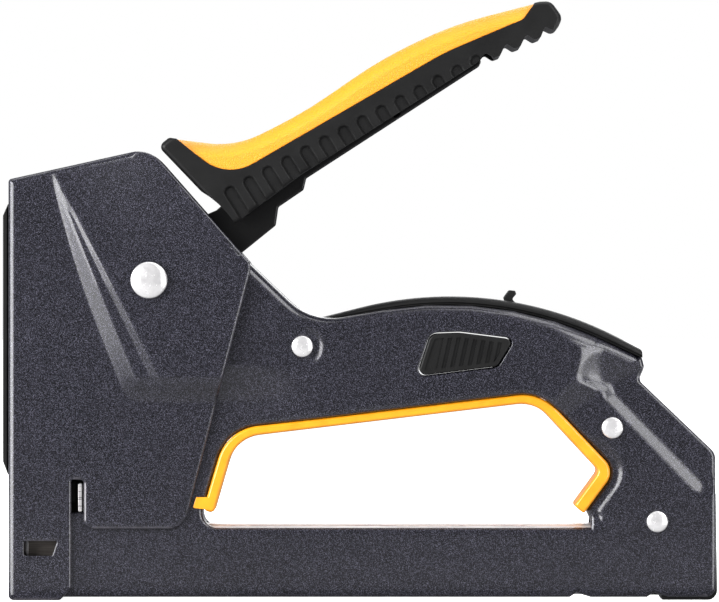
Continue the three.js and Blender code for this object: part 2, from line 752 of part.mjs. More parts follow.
// ---------- handle lock ----------
// The hook lies in the top strip. Swung upright, its lip holds the catch bar of the squeezed handle.
function lockHook() {
  const lip = LOCK.reach + CATCH.radius + GAP; // distance of the lip's holding face from the lock pin
  const boss = 2.3;
  const stemTop = -CATCH.radius - GAP;
  // [distance out from the pin, height over the line from the pin to the bar, radius]
  const hook = [
    [-boss, -boss, boss],
    [-boss, boss, boss],
    [1.5, boss, 1.5],
    [5, stemTop, 1.5],
    [lip, stemTop, 0.4],
    [lip, 0.9, 0.5],
    [lip + 1.6, 2.4, 0.8],
    [lip + 3.3, 2.1, 0.9],
    [lip + 3.3, -0.6, 1],
    [lip + 2.4, stemTop - 2.8, 1.2],
    [3, stemTop - 2.4, 2],
  ];
  const [cos, sin] = [Math.cos(LOCK.restAngle), Math.sin(LOCK.restAngle)];
  const atRest = hook.map(([out, up, radius]) => [
    LOCK.x + out * cos - up * sin,
    LOCK.z + out * sin + up * cos,
    radius,
  ]);
  const body = slab(atRest, LOCK.half, { size: 0.4, depth: 0.4, steps: 1 });
  return cut(body, rod(LOCK.pin + GAP, LOCK.x, LOCK.z, -FAR, FAR, 12));
}

// ---------- magazine ----------
function magazineChannel() {
  const { front, back, bottom, top, sheet } = CHANNEL;
  const outer = box(front, -CHANNEL_HALF, bottom, back, CHANNEL_HALF, top);
  const inner = box(front - 1, -CHANNEL_HALF + sheet, 0, back + 1, CHANNEL_HALF - sheet, top - sheet);
  return cut(outer, inner);
}

const railPinHole = () => rod(RAIL_PIN.radius + GAP, RAIL_PIN.x, RAIL_PIN.z, -FAR, FAR, 12);

function magazineRail() {
  const { front, back, bottom, top, half, sheet } = RAIL;
  const outer = box(front, -half, bottom, back, half, top);
  const inner = box(front + 4, -half + sheet, 0, back + 1, half - sheet, top - sheet);
  const noseHole = alongX(ROD.radius + GAP, front - 1, front + 5, ROD.z);
  return cut(outer, inner, noseHole, railPinHole());
}

function magazinePull() {
  const tray = slab([[PULL.front, 1.3, 0.5], [91, 1.3], [91, 14.5], [PULL.front, 14.5, 0.5]], PULL.half);
  const plug = slab([[86.4, 0], [PULL.back, 0, 2.5], [REAR_X, PULL.top, 0.6], [86.4, PULL.top]], PULL.half);
  const foot = slab([[78.4, 0, 0.6], [90, 0, 1], [90, 4], [78.4, 4]], PULL.half);
  const railSection = rectangle(PULL.front - 1, RAIL.bottom - GAP, RAIL.back + GAP, RAIL.top + GAP);
  const railSlot = slab(railSection, RAIL.half + GAP);
  const grooveEnd = PULL.half - 1.5;
  const grooves = [7, 12, 17, 22, 27].map((z) => rod(0.8, PULL.back + 0.2, z, -grooveEnd, grooveEnd, 8));
  return cut(join(tray, plug, foot), railSlot, railPinHole(), ...grooves);
}

function guideRod() {
  const head = { x0: 80, x1: 84, half: 2.8, rise: 2 };
  const shaft = alongX(ROD.radius, RAIL.front + 1, head.x1, ROD.z);
  return join(shaft, box(head.x0, -head.half, ROD.z - head.rise, head.x1, head.half, ROD.z + head.rise));
}

function follower() {
  const { front, back } = FOLLOWER;
  const inner = RAIL.half + GAP;
  const outer = inner + 0.6;
  const saddle = box(front, -outer, 1, back, outer, RAIL.top + 1.6);
  const gap = box(front - 1, -inner, 1.7, back + 1, inner, RAIL.top + GAP);
  const block = box(front + 5, -3.2, 1.5, back, 3.2, ROD.z + 3.4);
  return cut(join(cut(saddle, gap), block), alongX(ROD.radius + GAP, front - 1, back + 1, ROD.z));
}

function followerSpring() {
  const [start, end] = [FOLLOWER.back + 0.9, 79.2];
  const [turns, perTurn] = [26, 8];
  const coil = helix(2.3, turns, end - start, perTurn).map((p) => new THREE.Vector3(p.z, p.x, p.y));
  return wire(coil, 0.4, turns * perTurn, 4).translate([start, 0, ROD.z]);
}

// ---------- the whole gun ----------
place('front_cover', frontCover(), paint);
place('front_bumper', frontBumper(), rubber);
place('body_shell_left', bodyShell(1), paint);
place('body_shell_right', bodyShell(-1), paint);
place('top_strip', topStrip(), blackPlastic);
place('grip_pad_left', gripPad(1), blackPlastic);
place('grip_pad_right', gripPad(-1), blackPlastic);
place('finger_guard', fingerGuard(), trimPlastic);
place('pivot_rivet', rivet(PIVOT_PIN, PIVOT.x, PIVOT.z, CHEEK_HALF), brightSteel);
for (const [name, { x, z, half }] of Object.entries(frameRivets)) {
  place(`frame_rivet_${name}`, rivet(FRAME_PIN, x, z, half), brightSteel);
  place(`spacer_${name}`, spacer(x, z, half), darkSteel);
}
place('nose_plate', nosePlate(), darkSteel);
place('driver_guide_left', driverGuide(1), darkSteel);
place('driver_guide_right', driverGuide(-1), darkSteel);
place('driver_blade', driverBlade(), brightSteel);
place('blade_pin', bladePin(), darkSteel);
place('striker', striker(), darkSteel);
place('power_spring', powerSpring(), springSteel);
place('spring_cap', springCap(), blackPlastic);
place('shock_absorber', shockAbsorber(), rubber);
place('guide_bracket', guideBracket(), brightSteel);
place('lever_arm', leverArm(), blackSteel);
place('lifter_pin', lifterPin(), brightSteel);
place('lever_catch_bar', rod(CATCH.radius, CATCH.x, CATCH.z, -LEVER_HALF, LEVER_HALF, 12), brightSteel);
place('lever_grip', leverGrip(), blackPlastic);
place('lever_grip_insert', leverGripInsert(), yellowPlastic);
place('lever_return_spring', leverReturnSpring(), springSteel);
place('lock_hook', lockHook(), blackPlastic);
place('lock_pin', rod(LOCK.pin, LOCK.x, LOCK.z, -4.7, 4.7, 12), brightSteel);
place('magazine_channel', magazineChannel(), brightSteel);
place('magazine_rail', magazineRail(), brightSteel);
place('magazine_pull', magazinePull(), blackPlastic);
place('rail_pin', rod(RAIL_PIN.radius, RAIL_PIN.x, RAIL_PIN.z, -PULL.half, PULL.half, 12), brightSteel);
place('guide_rod', guideRod(), brightSteel);
place('follower', follower(), darkSteel);
place('follower_spring', followerSpring(), springSteel);

export default gun;
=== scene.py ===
from math import acos, atan2, ceil, cos, degrees, hypot, pi, radians, sin, sqrt, tan

import bmesh
import bpy
import numpy as np
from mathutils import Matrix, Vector
from mathutils.geometry import delaunay_2d_cdt


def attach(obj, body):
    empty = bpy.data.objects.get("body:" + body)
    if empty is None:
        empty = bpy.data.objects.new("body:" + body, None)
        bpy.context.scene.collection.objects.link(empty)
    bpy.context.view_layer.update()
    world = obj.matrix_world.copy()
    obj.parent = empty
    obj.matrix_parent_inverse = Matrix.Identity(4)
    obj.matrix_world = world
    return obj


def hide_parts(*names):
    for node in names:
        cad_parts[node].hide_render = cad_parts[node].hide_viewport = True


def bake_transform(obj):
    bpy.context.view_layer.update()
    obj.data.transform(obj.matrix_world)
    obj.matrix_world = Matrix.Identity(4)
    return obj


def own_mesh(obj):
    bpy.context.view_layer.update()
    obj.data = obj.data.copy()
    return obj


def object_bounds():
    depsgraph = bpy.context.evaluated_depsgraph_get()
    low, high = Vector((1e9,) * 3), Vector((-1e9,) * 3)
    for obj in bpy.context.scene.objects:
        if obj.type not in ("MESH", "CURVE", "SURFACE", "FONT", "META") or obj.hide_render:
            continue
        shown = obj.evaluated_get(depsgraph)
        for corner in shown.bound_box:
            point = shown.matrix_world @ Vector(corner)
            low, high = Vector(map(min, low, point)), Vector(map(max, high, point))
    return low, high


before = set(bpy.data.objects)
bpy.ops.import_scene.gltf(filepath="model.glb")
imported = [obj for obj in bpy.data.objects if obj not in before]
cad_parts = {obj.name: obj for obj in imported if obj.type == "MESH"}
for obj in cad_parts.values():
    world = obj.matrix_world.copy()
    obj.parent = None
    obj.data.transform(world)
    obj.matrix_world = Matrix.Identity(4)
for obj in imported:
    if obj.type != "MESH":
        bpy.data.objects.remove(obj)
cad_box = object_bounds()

# Shapes are worked out in millimetres, in the frame of the CAD part, and become metres in mesh_object().
# FAR takes a cutting tool right through the gun, GAP is the room between neighbouring pieces, and
# CLEAR keeps the faces of two solids that are combined from lying exactly on each other.
MM = 0.001
FAR = 60
GAP = 0.3
CLEAR = 0.04
HANDLE, FRAME, LOCK_BODY, RAIL_BODY = "handle", "frame", "lock", "rail"
HANDS = (("left", 1), ("right", -1))

# Driving dimensions, which match the CAD part. A HALF is a half width, measured from the middle plane.
COVER_SHEET = 1.2
SHELL_SHEET = 1.1
NOSE_HALF = 11.6
CHEEK_HALF = 15.2
BODY_HALF = 10.0
SWELL_HALF = 12.0
RIM_HALF = 8.2
GRIP_HALF = 14.2
STRIP_HALF = 8.0
CHANNEL_HALF = 6.8
GUARD_HALF = 11.0
TONGUE_HALF = 3.6
NOSE_X = -91.4
REAR_X = 92.5
BASE_Z = 0.8
ARM_TOP_Z = 18.8
PIVOT_X, PIVOT_Z = -54.7, 83.2
SQUEEZE = radians(31)
FINGER_REACH = 29.3
LIFTER_X = PIVOT_X - FINGER_REACH * cos(SQUEEZE / 2)
LIFTER_Z = PIVOT_Z - FINGER_REACH * sin(SQUEEZE / 2)
LEVER_HALF = 7.6
LEVER_SHEET = 1.2
LOCK_X, LOCK_Z, LOCK_HALF, LOCK_REACH = 22.6, 72.6, 2.4, 14.6
LOCK_REST = radians(19)
CATCH_RADIUS = 1.1
PIVOT_BORE, LIFTER_BORE, LOCK_BORE = 3.1, 2.1, 1.5
RAIL_PIN_X, RAIL_PIN_Z, RAIL_PIN_BORE = 81, 12, 1.5
PULL_HALF = BODY_HALF - SHELL_SHEET - GAP
PLUG_TOP_HALF = RIM_HALF - SHELL_SHEET - 2 * GAP


# ---------- outlines ----------
def smooth(value):
    """0 below 0, 1 above 1, and an even curve between."""
    t = np.clip(value, 0, 1)
    return t * t * (3 - 2 * t)


def even_ramp(value, rounding=0.2):
    """0 to 1 with a constant slope, rounded off at both ends."""
    t = np.clip(value, 0, 1)
    middle = (t - rounding / 2) / (1 - rounding)
    foot = t * t / (2 * rounding * (1 - rounding))
    head = 1 - (1 - t) ** 2 / (2 * rounding * (1 - rounding))
    return np.where(t < rounding, foot, np.where(t > 1 - rounding, head, middle))


def unit(vector):
    return vector / max(1e-9, float(np.hypot(*vector)))


def leaned(along, up, angle, x=0, z=0):
    """The place along and up from (x, z), on axes that lean upwards by an angle."""
    cosine, sine = cos(angle), sin(angle)
    return (x + along * cosine - up * sine, z + along * sine + up * cosine)


def signed_area(corners):
    x, z = np.array([c[:2] for c in corners]).T
    return float(np.sum(x * np.roll(z, -1) - np.roll(x, -1) * z) / 2)


class Outline:
    """A side-view outline of corners (x, z, radius). Every ring(distance) has the same number of points."""

    def __init__(self, corners, pitch=3.0, arc_degrees=11.0):
        full = [(c[0], c[1], c[2] if len(c) > 2 else 0.0) for c in corners]
        self.corners = full if signed_area(full) > 0 else full[::-1]
        self.arcs = []
        self.edges = []
        for _, here, after, turn, radius in self.walk(self.corners):
            self.arcs.append(max(2, ceil(degrees(turn) / arc_degrees)) if radius > 0 else 0)
            self.edges.append(max(1, round(hypot(*(after - here)) / pitch)))

    @staticmethod
    def walk(corners):
        """For each corner: the places before, at and after it, the turn there, and its radius."""
        places = [np.array(c[:2], float) for c in corners]
        for i, here in enumerate(places):
            before, after = places[i - 1], places[(i + 1) % len(places)]
            cosine = float(np.dot(unit(here - before), unit(after - here)))
            yield before, here, after, acos(max(-1.0, min(1.0, cosine))), corners[i][2]

    def moved(self, distance):
        """The corners of the outline moved inwards by a distance."""
        found = []
        for before, here, after, _, radius in self.walk(self.corners):
            inwards, outwards = unit(here - before), unit(after - here)
            normal = unit(np.array([-inwards[1] - outwards[1], inwards[0] + outwards[0]]))
            stretch = 1 / max(0.2, float(np.dot(normal, [-inwards[1], inwards[0]])))
            place = here + normal * distance * stretch
            convex = inwards[0] * outwards[1] - inwards[1] * outwards[0] > 0
            change = -distance if convex else distance
            found.append((place[0], place[1], max(0.06, radius + change) if radius > 0 else 0.0))
        return found

    def ring(self, distance=0.0):
        corners = self.moved(distance) if distance else self.corners
        bends = []
        for arc, (before, here, after, turn, radius) in zip(self.arcs, self.walk(corners)):
            if not arc:
                bends.append([here])
                continue
            back, ahead = unit(before - here), unit(after - here)
            half = max(1e-3, (pi - turn) / 2)
            centre = here + unit(back + ahead) * radius / sin(half)
            start = here + back * radius / tan(half) - centre
            end = here + ahead * radius / tan(half) - centre
            angle = atan2(start[0] * end[1] - start[1] * end[0], float(np.dot(start, end)))
            steps = np.linspace(0, angle, arc + 1)
            bends.append([centre + np.array(leaned(*start, a)) for a in steps])
        points = []
        for i, bend in enumerate(bends):
            points.extend(bend)
            following = bends[(i + 1) % len(bends)][0]
            for k in range(1, self.edges[i]):
                points.append(bend[-1] + (following - bend[-1]) * k / self.edges[i])
        return np.array(points)


def rectangle(x0, z0, x1, z1, radius=0.0):
    return [(x0, z0, radius), (x1, z0, radius), (x1, z1, radius), (x0, z1, radius)]


def circle(x, z, radius):
    return rectangle(x - radius, z - radius, x + radius, z + radius, radius)


def inside(points, ring):
    x, z = points[:, 0][:, None], points[:, 1][:, None]
    x0, z0 = ring[:, 0][None, :], ring[:, 1][None, :]
    x1, z1 = np.roll(x0, -1, 1), np.roll(z0, -1, 1)
    crosses = (z0 > z) != (z1 > z)
    with np.errstate(divide="ignore", invalid="ignore"):
        at = x0 + (z - z0) * (x1 - x0) / (z1 - z0)
    return (crosses & (x < at)).sum(1) % 2 == 1


def depth_inside(points, ring):
    """Distance from each point to a closed ring, positive inside it."""
    start, end = ring, np.roll(ring, -1, 0)
    along = end - start
    least = np.full(len(points), 1e9)
    for p, d in zip(start, along):
        t = np.clip(((points - p) @ d) / max(1e-12, d @ d), 0, 1)
        least = np.minimum(least, np.hypot(*(points - p - t[:, None] * d).T))
    return np.where(inside(points, ring), least, -least)


def when_open(point):
    """Where a point of the squeezed handle lies when it is open."""
    return leaned(point[0] - PIVOT_X, point[1] - PIVOT_Z, SQUEEZE, PIVOT_X, PIVOT_Z)


# ---------- meshes ----------
def placed(name, data):
    obj = bpy.data.objects.new(name, data)
    bpy.context.scene.collection.objects.link(obj)
    return obj


def mesh_object(name, points, faces, sharp_angle=40.0):
    """Makes an object from points in millimetres."""
    mesh = bpy.data.meshes.new(name)
    mesh.from_pydata([tuple(float(v) * MM for v in p) for p in points], [], faces)
    mesh.validate()
    obj = placed(name, mesh)
    tidy(obj, sharp_angle)
    return obj


def tidy(obj, sharp_angle=40.0):
    """Turns faces outwards and shades smoothly, except over edges sharper than the angle."""
    work = bmesh.new()
    work.from_mesh(obj.data)
    bmesh.ops.recalc_face_normals(work, faces=work.faces)
    work.to_mesh(obj.data)
    work.free()
    obj.data.polygons.foreach_set("use_smooth", [True] * len(obj.data.polygons))
    obj.data.set_sharp_from_angle(angle=radians(sharp_angle))
    obj.data.update()


def even_shading(obj):
    """Lets large flat faces keep their own normals where they meet rounded rims."""
    modifier = obj.modifiers.new("even_shading", "WEIGHTED_NORMAL")
    modifier.keep_sharp = True
    modifier.weight = 80


def stack(rings, faces, first=0):
    """Adds quads between successive closed rings of one length, and returns all their points."""
    count = len(rings[0])
    for start in range(first, first + (len(rings) - 1) * count, count):
        for i in range(count):
            a, b = start + i, start + (i + 1) % count
            faces.append((a, b, b + count, a + count))
    return [tuple(p) for ring in rings for p in ring]


def closed_solid(name, rings, sharp_angle=40.0):
    """A solid through a run of closed rings, with both ends filled in."""
    faces = []
    points = stack(rings, faces)
    count = len(rings[0])
    faces.append(tuple(range(count)))
    faces.append(tuple(range(len(points) - count, len(points))))
    return mesh_object(name, points, faces, sharp_angle)


def quarter_round(steps, across, down):
    """Pairs (how far in, how far down) round a quarter of an ellipse, from its crown."""
    angles = [pi / 2 * k / steps for k in range(steps + 1)]
    return [(across * (1 - sin(a)), down * (1 - cos(a))) for a in angles]


def plate(name, corners, y0, y1, size=0.0, depth=None, steps=4, pitch=4.0, arc_degrees=11.0):
    """A side-view outline made solid from y0 to y1, its rims rolled in by size over depth."""
    shape = Outline(corners, pitch, arc_degrees)
    if not size:
        return layered(name, shape, [(y0, 0.0), (y1, 0.0)])
    roll = quarter_round(steps, size, size if depth is None else depth)
    layers = [(y0 + drop, moved) for moved, drop in roll]
    layers += [(y1 - drop, moved) for moved, drop in reversed(roll)]
    return layered(name, shape, layers)


def layered(name, shape, layers):
    """A solid from an outline that is moved in by its own distance at each y."""
    return closed_solid(name, [[(x, y, z) for x, z in shape.ring(moved)] for y, moved in layers])


def slab(name, corners, half, size=0.0, depth=None, steps=4, **more):
    return plate(name, corners, -half, half, size, depth, steps, **more)


def side_plate(name, corners, side, near, far, size=0.0, steps=4, **more):
    """A plate on one side, from near to far from the middle plane."""
    ends = sorted((side * near, side * far))
    return plate(name, corners, *ends, size, size, steps, **more)


def rod(name, radius, x, z, y0=-FAR, y1=FAR, arc_degrees=15.0):
    return plate(name, circle(x, z, radius), y0, y1, arc_degrees=arc_degrees)


def combine(target, operation, *tools):
    """Combines the target with other solids, which are used up."""
    for tool in tools:
        modifier = target.modifiers.new("step", "BOOLEAN")
        modifier.operation = operation
        modifier.object = tool
        modifier.solver = "MANIFOLD"
    bpy.context.view_layer.update()
    made = bpy.data.meshes.new_from_object(target.evaluated_get(bpy.context.evaluated_depsgraph_get()))
    target.modifiers.clear()
    target.data = made
    for tool in tools:
        bpy.data.objects.remove(tool)
    tidy(target, 35.0)
    return target


def cut(target, *tools):
    return combine(target, "DIFFERENCE", *tools)


def join(target, *tools):
    return combine(target, "UNION", *tools)


def overlap(target, *tools):
    return combine(target, "INTERSECT", *tools)


def one_mesh(name, parts):
    points, faces = [], []
    for part in parts:
        first = len(points)
        points += [tuple(v.co / MM) for v in part.data.vertices]
        faces += [tuple(first + i for i in f.vertices) for f in part.data.polygons]
        bpy.data.objects.remove(part)
    return mesh_object(name, points, faces)


def turned(name, profile, x, z):
    """A part turned about Y, from a profile of (radius, y) that runs from axis to axis."""
    segments = 56
    rings = [
        [(x + r * cos(a), y, z + r * sin(a)) for a in np.linspace(0, 2 * pi, segments, False)]
        for r, y in profile[1:-1]
    ]
    faces = []
    points = stack(rings, faces)
    first, last = len(points), len(points) + 1
    points += [(x, profile[0][1], z), (x, profile[-1][1], z)]
    end = (len(rings) - 1) * segments
    for i in range(segments):
        after = (i + 1) % segments
        faces.append((first, after, i))
        faces.append((last, end + i, end + after))
    return mesh_object(name, points, faces, 50.0)


def wire(name, path, radius, sides=10):
    path = [Vector(p) for p in path]
    across = None
    rings = []
    for i, here in enumerate(path):
        ahead = (path[min(i + 1, len(path) - 1)] - path[max(i - 1, 0)]).normalized()
        if across is None:
            across = ahead.orthogonal().normalized()
        across = (across - ahead * across.dot(ahead)).normalized()
        other = ahead.cross(across)
        turns = [2 * pi * k / sides for k in range(sides)]
        rings.append([tuple(here + (across * cos(a) + other * sin(a)) * radius) for a in turns])
    return closed_solid(name, rings, 60.0)


# ---------- pressed sheet ----------
ROLL_STEPS = 5


def sheet_rings(shape, styles, height, sheet, into):
    """Rings of points from the panel's outer face, over the rim, and back to its inner face.
    A style is (weight at each point, rim radius, wall end or None for a cut edge)."""
    chamfer, burr = 0.17, 0.08
    total = 0
    for weight, radius, wall_end in styles:
        steps = [(moved, drop, None) for moved, drop in quarter_round(ROLL_STEPS, radius, radius)]
        if wall_end is None:
            steps += [(0.0, max(sheet - 0.25, radius + 0.02), None), (burr, sheet - burr, None)]
            back = quarter_round(ROLL_STEPS, 1, 0)[::-1]
            steps += [(burr + chamfer * t, sheet - burr * (1 - t), None) for t, _ in back]
        else:
            bend = max(0.15, radius - sheet)
            back = quarter_round(ROLL_STEPS, bend, bend)[::-1]
            steps += [(0.0, 0.0, wall_end), (sheet, 0.0, wall_end)]
            steps += [(sheet + moved, sheet + drop, None) for moved, drop in back]
        rings = []
        for moved, drop, end in steps:
            plan = shape.ring(into * moved)
            y = height(plan) - drop if end is None else end(plan)
            rings.append(np.column_stack([plan[:, 0], y, plan[:, 1]]))
        total = total + weight[None, :, None] * np.array(rings)
    return total


def in_panel(points, loops):
    """Which points lie inside the first loop and outside all the others."""
    found = inside(points, loops[0])
    for loop in loops[1:]:
        found &= ~inside(points, loop)
    return found


def triangulate(loops, pitch):
    """Points and triangles that fill the area between closed loops with an even lattice."""
    edge_points = np.vstack(loops)
    low, high = edge_points.min(0), edge_points.max(0)
    rows = np.arange(low[1], high[1], pitch * sqrt(3) / 2)
    lattice = np.array([
        (x + (pitch / 2 if k % 2 else 0), z)
        for k, z in enumerate(rows)
        for x in np.arange(low[0], high[0], pitch)
    ])
    lattice = lattice[in_panel(lattice, loops)]
    near = np.full(len(lattice), 1e9)
    for loop in loops:
        near = np.minimum(near, np.abs(depth_inside(lattice, loop)))
    lattice = lattice[near > 0.45 * pitch]
    edges = []
    first = 0
    for loop in loops:
        edges += [(first + i, first + (i + 1) % len(loop)) for i in range(len(loop))]
        first += len(loop)
    points = np.vstack([edge_points, lattice])
    found, _, triangles, origin, _, _ = delaunay_2d_cdt([Vector(p) for p in points], edges, [], 0, 1e-7)
    corners = np.array([list(p) for p in found])
    faces = np.array([list(t) for t in triangles])
    faces = faces[in_panel(corners[faces].mean(1), loops)]
    named = np.array([o[0] if o else -1 for o in origin])[faces]
    return points, len(edge_points), named[(named >= 0).all(1)]


def pressed_sheet(name, shape, styles, holes, height, sheet, pitch, mirror=False, side=1):
    """Closed sheet metal: outer skin, rolled rims with walls or cut edges, and inner skin."""
    loops = [sheet_rings(shape, styles, height, sheet, 1)]
    loops += [sheet_rings(hole, hole_styles, height, sheet, -1) for hole, hole_styles in holes]
    points, faces = [], []
    starts = []
    for rings in loops:
        starts.append(len(points))
        points += stack(rings, faces, len(points))
    for layer, lattice_pitch, offset in ((0, pitch, 0.0), (-1, pitch * 1.8, sheet)):
        plans = [rings[layer][:, [0, 2]] for rings in loops]
        plan, count, triangles = triangulate(plans, lattice_pitch)
        index = []
        for start, rings in zip(starts, loops):
            size = rings.shape[1]
            base = start + (0 if layer == 0 else (rings.shape[0] - 1) * size)
            index += range(base, base + size)
        lattice = plan[count:]
        index += range(len(points), len(points) + len(lattice))
        y = height(lattice) - offset
        points += [(p[0], h, p[1]) for p, h in zip(lattice, y)]
        index = np.array(index)
        faces += [tuple(int(i) for i in t) for t in index[triangles]]
    if mirror:
        middle = [abs(p[1]) < 1e-6 for p in points]
        faces = [f for f in faces if not all(middle[i] for i in f)]
        count = len(points)
        other = list(range(count))
        for i, p in enumerate(list(points)):
            if not middle[i]:
                other[i] = len(points)
                points.append((p[0], -p[1], p[2]))
        faces += [tuple(other[i] for i in reversed(f)) for f in faces]
    points = [(x, side * y, z) for x, y, z in points]
    return mesh_object(name, points, faces, 50.0)


def hole_in_sheet(corners, pitch, radius=0.4, wall_end=None, arc_degrees=15):
    """A hole as pressed_sheet() takes it, with a cut edge unless its wall has an end."""
    hole = Outline(corners, pitch, arc_degrees)
    return hole, [(np.ones(len(hole.ring())), radius, wall_end)]


# ---------- front cover ----------
ROOF_SLOPE = 0.22
COVER_PEAK_X = -54.7


def roof_at(x):
    return 109.4 + ROOF_SLOPE * (x - NOSE_X)


cover_corners = [
    (NOSE_X, 0, 1.5), (-78, 0, 1.2), (-75, 3, 1.2), (-75, 31.3, 0.5), (-71.8, 31.3, 1),
    (-71.8, 18.5, 2.4), (-45.8, 18.5, 5), (-28, 87.2, 3), (COVER_PEAK_X, roof_at(COVER_PEAK_X), 8),
    (NOSE_X, roof_at(NOSE_X), 1),
]
nose_window = [(-87.3, 11.6, 0.5), (-80, 11.6, 0.5), (-78.7, 15.4, 0.4), (-87.3, 15.4, 0.4)]


def cover_height(points):
    """Half width of the cover: two fanning ramps rise from the nose to the cheek."""
    x, z = points[:, 0], points[:, 1]
    fan_x, fan_z, reach = -80.3, 112.0, 52.0
    down = np.clip((fan_z - z) / reach, 0.02, 1.2)
    ramp_start = fan_x + 10.5 * down + 5.8 * down ** 2
    ramp_end = fan_x + 21.3 * down
    step_start = fan_x + 25 * down
    step_end = fan_x + 28.3 * down - 1.3 * down ** 2
    ramp_rise = np.minimum(2.6, 0.6 * (ramp_end - ramp_start))
    step_rise = np.minimum(1.0, 0.55 * (step_end - step_start))
    lift = ramp_rise * even_ramp((x - ramp_start) / (ramp_end - ramp_start))
    lift += step_rise * even_ramp((x - step_start) / (step_end - step_start))
    lift += (CHEEK_HALF - NOSE_HALF - ramp_rise - step_rise) * smooth((x - step_end) / 40)
    return NOSE_HALF + lift * smooth((z - 51.5) / 6.5)


def front_cover():
    shape = Outline(cover_corners, 1.2, 7.5)
    plan = shape.ring()
    on_nose = plan[:, 0] < NOSE_X + 0.02
    on_roof = (plan[:, 1] > roof_at(plan[:, 0]) - 0.02) & (plan[:, 0] < COVER_PEAK_X + 1.5)
    near_top = (plan[:, 0] < -89) & (plan[:, 1] > 100)
    bent = (on_nose | on_roof | near_top).astype(float)
    styles = [(bent, 1.6, lambda p: np.zeros(len(p))), (1 - bent, 0.75, None)]
    openings = nose_window, circle(PIVOT_X, PIVOT_Z, PIVOT_BORE)
    holes = [hole_in_sheet(corners, 1.2) for corners in openings]
    return pressed_sheet("cover_skin", shape, styles, holes, cover_height, COVER_SHEET, 0.7, mirror=True)


# ---------- body shells ----------
shell_corners = [
    (-77.5, BASE_Z), (54.5, BASE_Z), (56.3, 1.9, 0.3), (60, BASE_Z), (74.6, BASE_Z),
    (76.4, 1.9, 0.3), (80.1, BASE_Z), (REAR_X, BASE_Z, 2.5), (REAR_X, 38.2, 3.5), (72.6, 57.2, 1.5),
    (74, 60.6, 1.5), (73.4, 63, 0.4), (34.9, 80.4, 95), (-12.5, 72.2, 16), (-42, 100.4, 6),
    (-68, 100.4, 8), (-68, 22.8), (-77.5, 22.8),
]
hole_corners = [
    (-42.3, ARM_TOP_Z, 4), (60, ARM_TOP_Z), (60, 21.2), (58.9, 23.6, 1), (66.4, 33.6, 4.5),
    (46.9, 54.2, 12), (-34.7, 44.4, 12),
]
swell_corners = [
    (-51, 25), (50, 44), (56, 49.5, 4), (63.5, 54, 4), (63.5, 100), (-77, 114), (-51, 57.5, 3),
]
raised_corners = [
    (-100, -20), (120, -20), (120, 33.4), (91.8, 32.2, 0.8), (89.6, 30.2, 0.8), (65.2, 55.2, 1.5),
    (78, 61.4), (60, 120), (-100, 120),
]
pad_corners = [
    (14.4, 57.9, 1.9), (35.8, 60.5, 2.2), (40.4, 68, 1.5), (26, 69.8, 10), (18.2, 69.5, 2.8),
]
frame_rivets = {
    "front": (-15, 66, SWELL_HALF),
    "rear_upper": (65.6, 44.8, BODY_HALF),
    "rear_lower": (77.3, 20.4, BODY_HALF),
}
swell_ring = Outline(swell_corners, 200, 8).ring()
raised_ring = Outline(raised_corners, 200, 12).ring()
hole_ring = Outline(hole_corners, 200, 8).ring()


def shell_height(points):
    """Half width of a shell: a low rim on the slanted rear edge, the column, and the swollen grip."""
    x, z = points[:, 0], points[:, 1]
    slope_width = 3.2 + 4 * smooth((x - 47) / 8)
    swell = even_ramp(depth_inside(points, swell_ring) / slope_width, 0.3)
    swell *= 1 - (1 - smooth((x + 38) / 30)) * (1 - smooth((z - 51) / 11))
    corner_slope = 8 * smooth((z - 54) / 4)
    raised = even_ramp(depth_inside(points, raised_ring) / (3.5 + corner_slope), 0.15)
    y = RIM_HALF + (BODY_HALF - RIM_HALF) * raised + (SWELL_HALF - BODY_HALF) * swell * raised
    rivet_x, rivet_z, _ = frame_rivets["front"]
    spread = np.hypot(x - rivet_x, z - rivet_z)
    beside = smooth((x - rivet_x) / 3)
    y = y - 0.5 * beside * (1 - smooth((spread - 4.4) / 1.2))
    lip = depth_inside(points, hole_ring)
    rear = smooth((x - 50) / 6) * smooth((z - 19) / 3) * (1 - smooth((z - 38) / 5))
    return y - 0.7 * rear * (1 - even_ramp((-lip - 2.2) / 1.1, 0.3))


def shell_wall_end(points):
    """How near to the middle plane a shell's turned-in walls reach, past what moves between them."""
    x, z = points[:, 0], points[:, 1]
    beside_lever = (x < -16.5) & (z > 60)
    beside_lock = (x > LOCK_X - 6) & (x < LOCK_X + 30) & (z > 64)
    beside_plug_top = (x > 88) & (z < 32.3)
    open_ended = (z < 4) | ((x > 88) & (z < 28.6)) | (x < -66)
    end = np.where(beside_lever, LEVER_HALF + 0.7, GAP / 2)
    end = np.where(beside_lock, LOCK_HALF + GAP, end)
    end = np.where(beside_plug_top, PLUG_TOP_HALF + GAP, end)
    return np.where(open_ended, PULL_HALF + GAP / 2, end)


def arm_wall_end(points):
    """The same round the finger hole, where the walls stay clear of the magazine channel."""
    return np.where(points[:, 1] < ARM_TOP_Z + 1.6, CHANNEL_HALF + GAP, GAP / 2)


def body_shell(name, side):
    shape = Outline(shell_corners, 1.4, 8)
    plan = shape.ring()
    top = smooth((plan[:, 1] - 61) / 2.5) * (plan[:, 0] > -67) * (plan[:, 0] < 73.2)
    styles = [(1 - top, 1.0, shell_wall_end), (top, 3.1, shell_wall_end)]
    bores = [(x, z, 1.8) for x, z, _ in frame_rivets.values()] + [(PIVOT_X, PIVOT_Z, PIVOT_BORE)]
    openings = [pad_corners] + [circle(*bore) for bore in bores]
    holes = [hole_in_sheet(hole_corners, 1.4, 1.2, arm_wall_end, 8)]
    holes += [hole_in_sheet(opening, 1.4) for opening in openings]
    return pressed_sheet(name, shape, styles, holes, shell_height, SHELL_SHEET, 0.8, side=side)


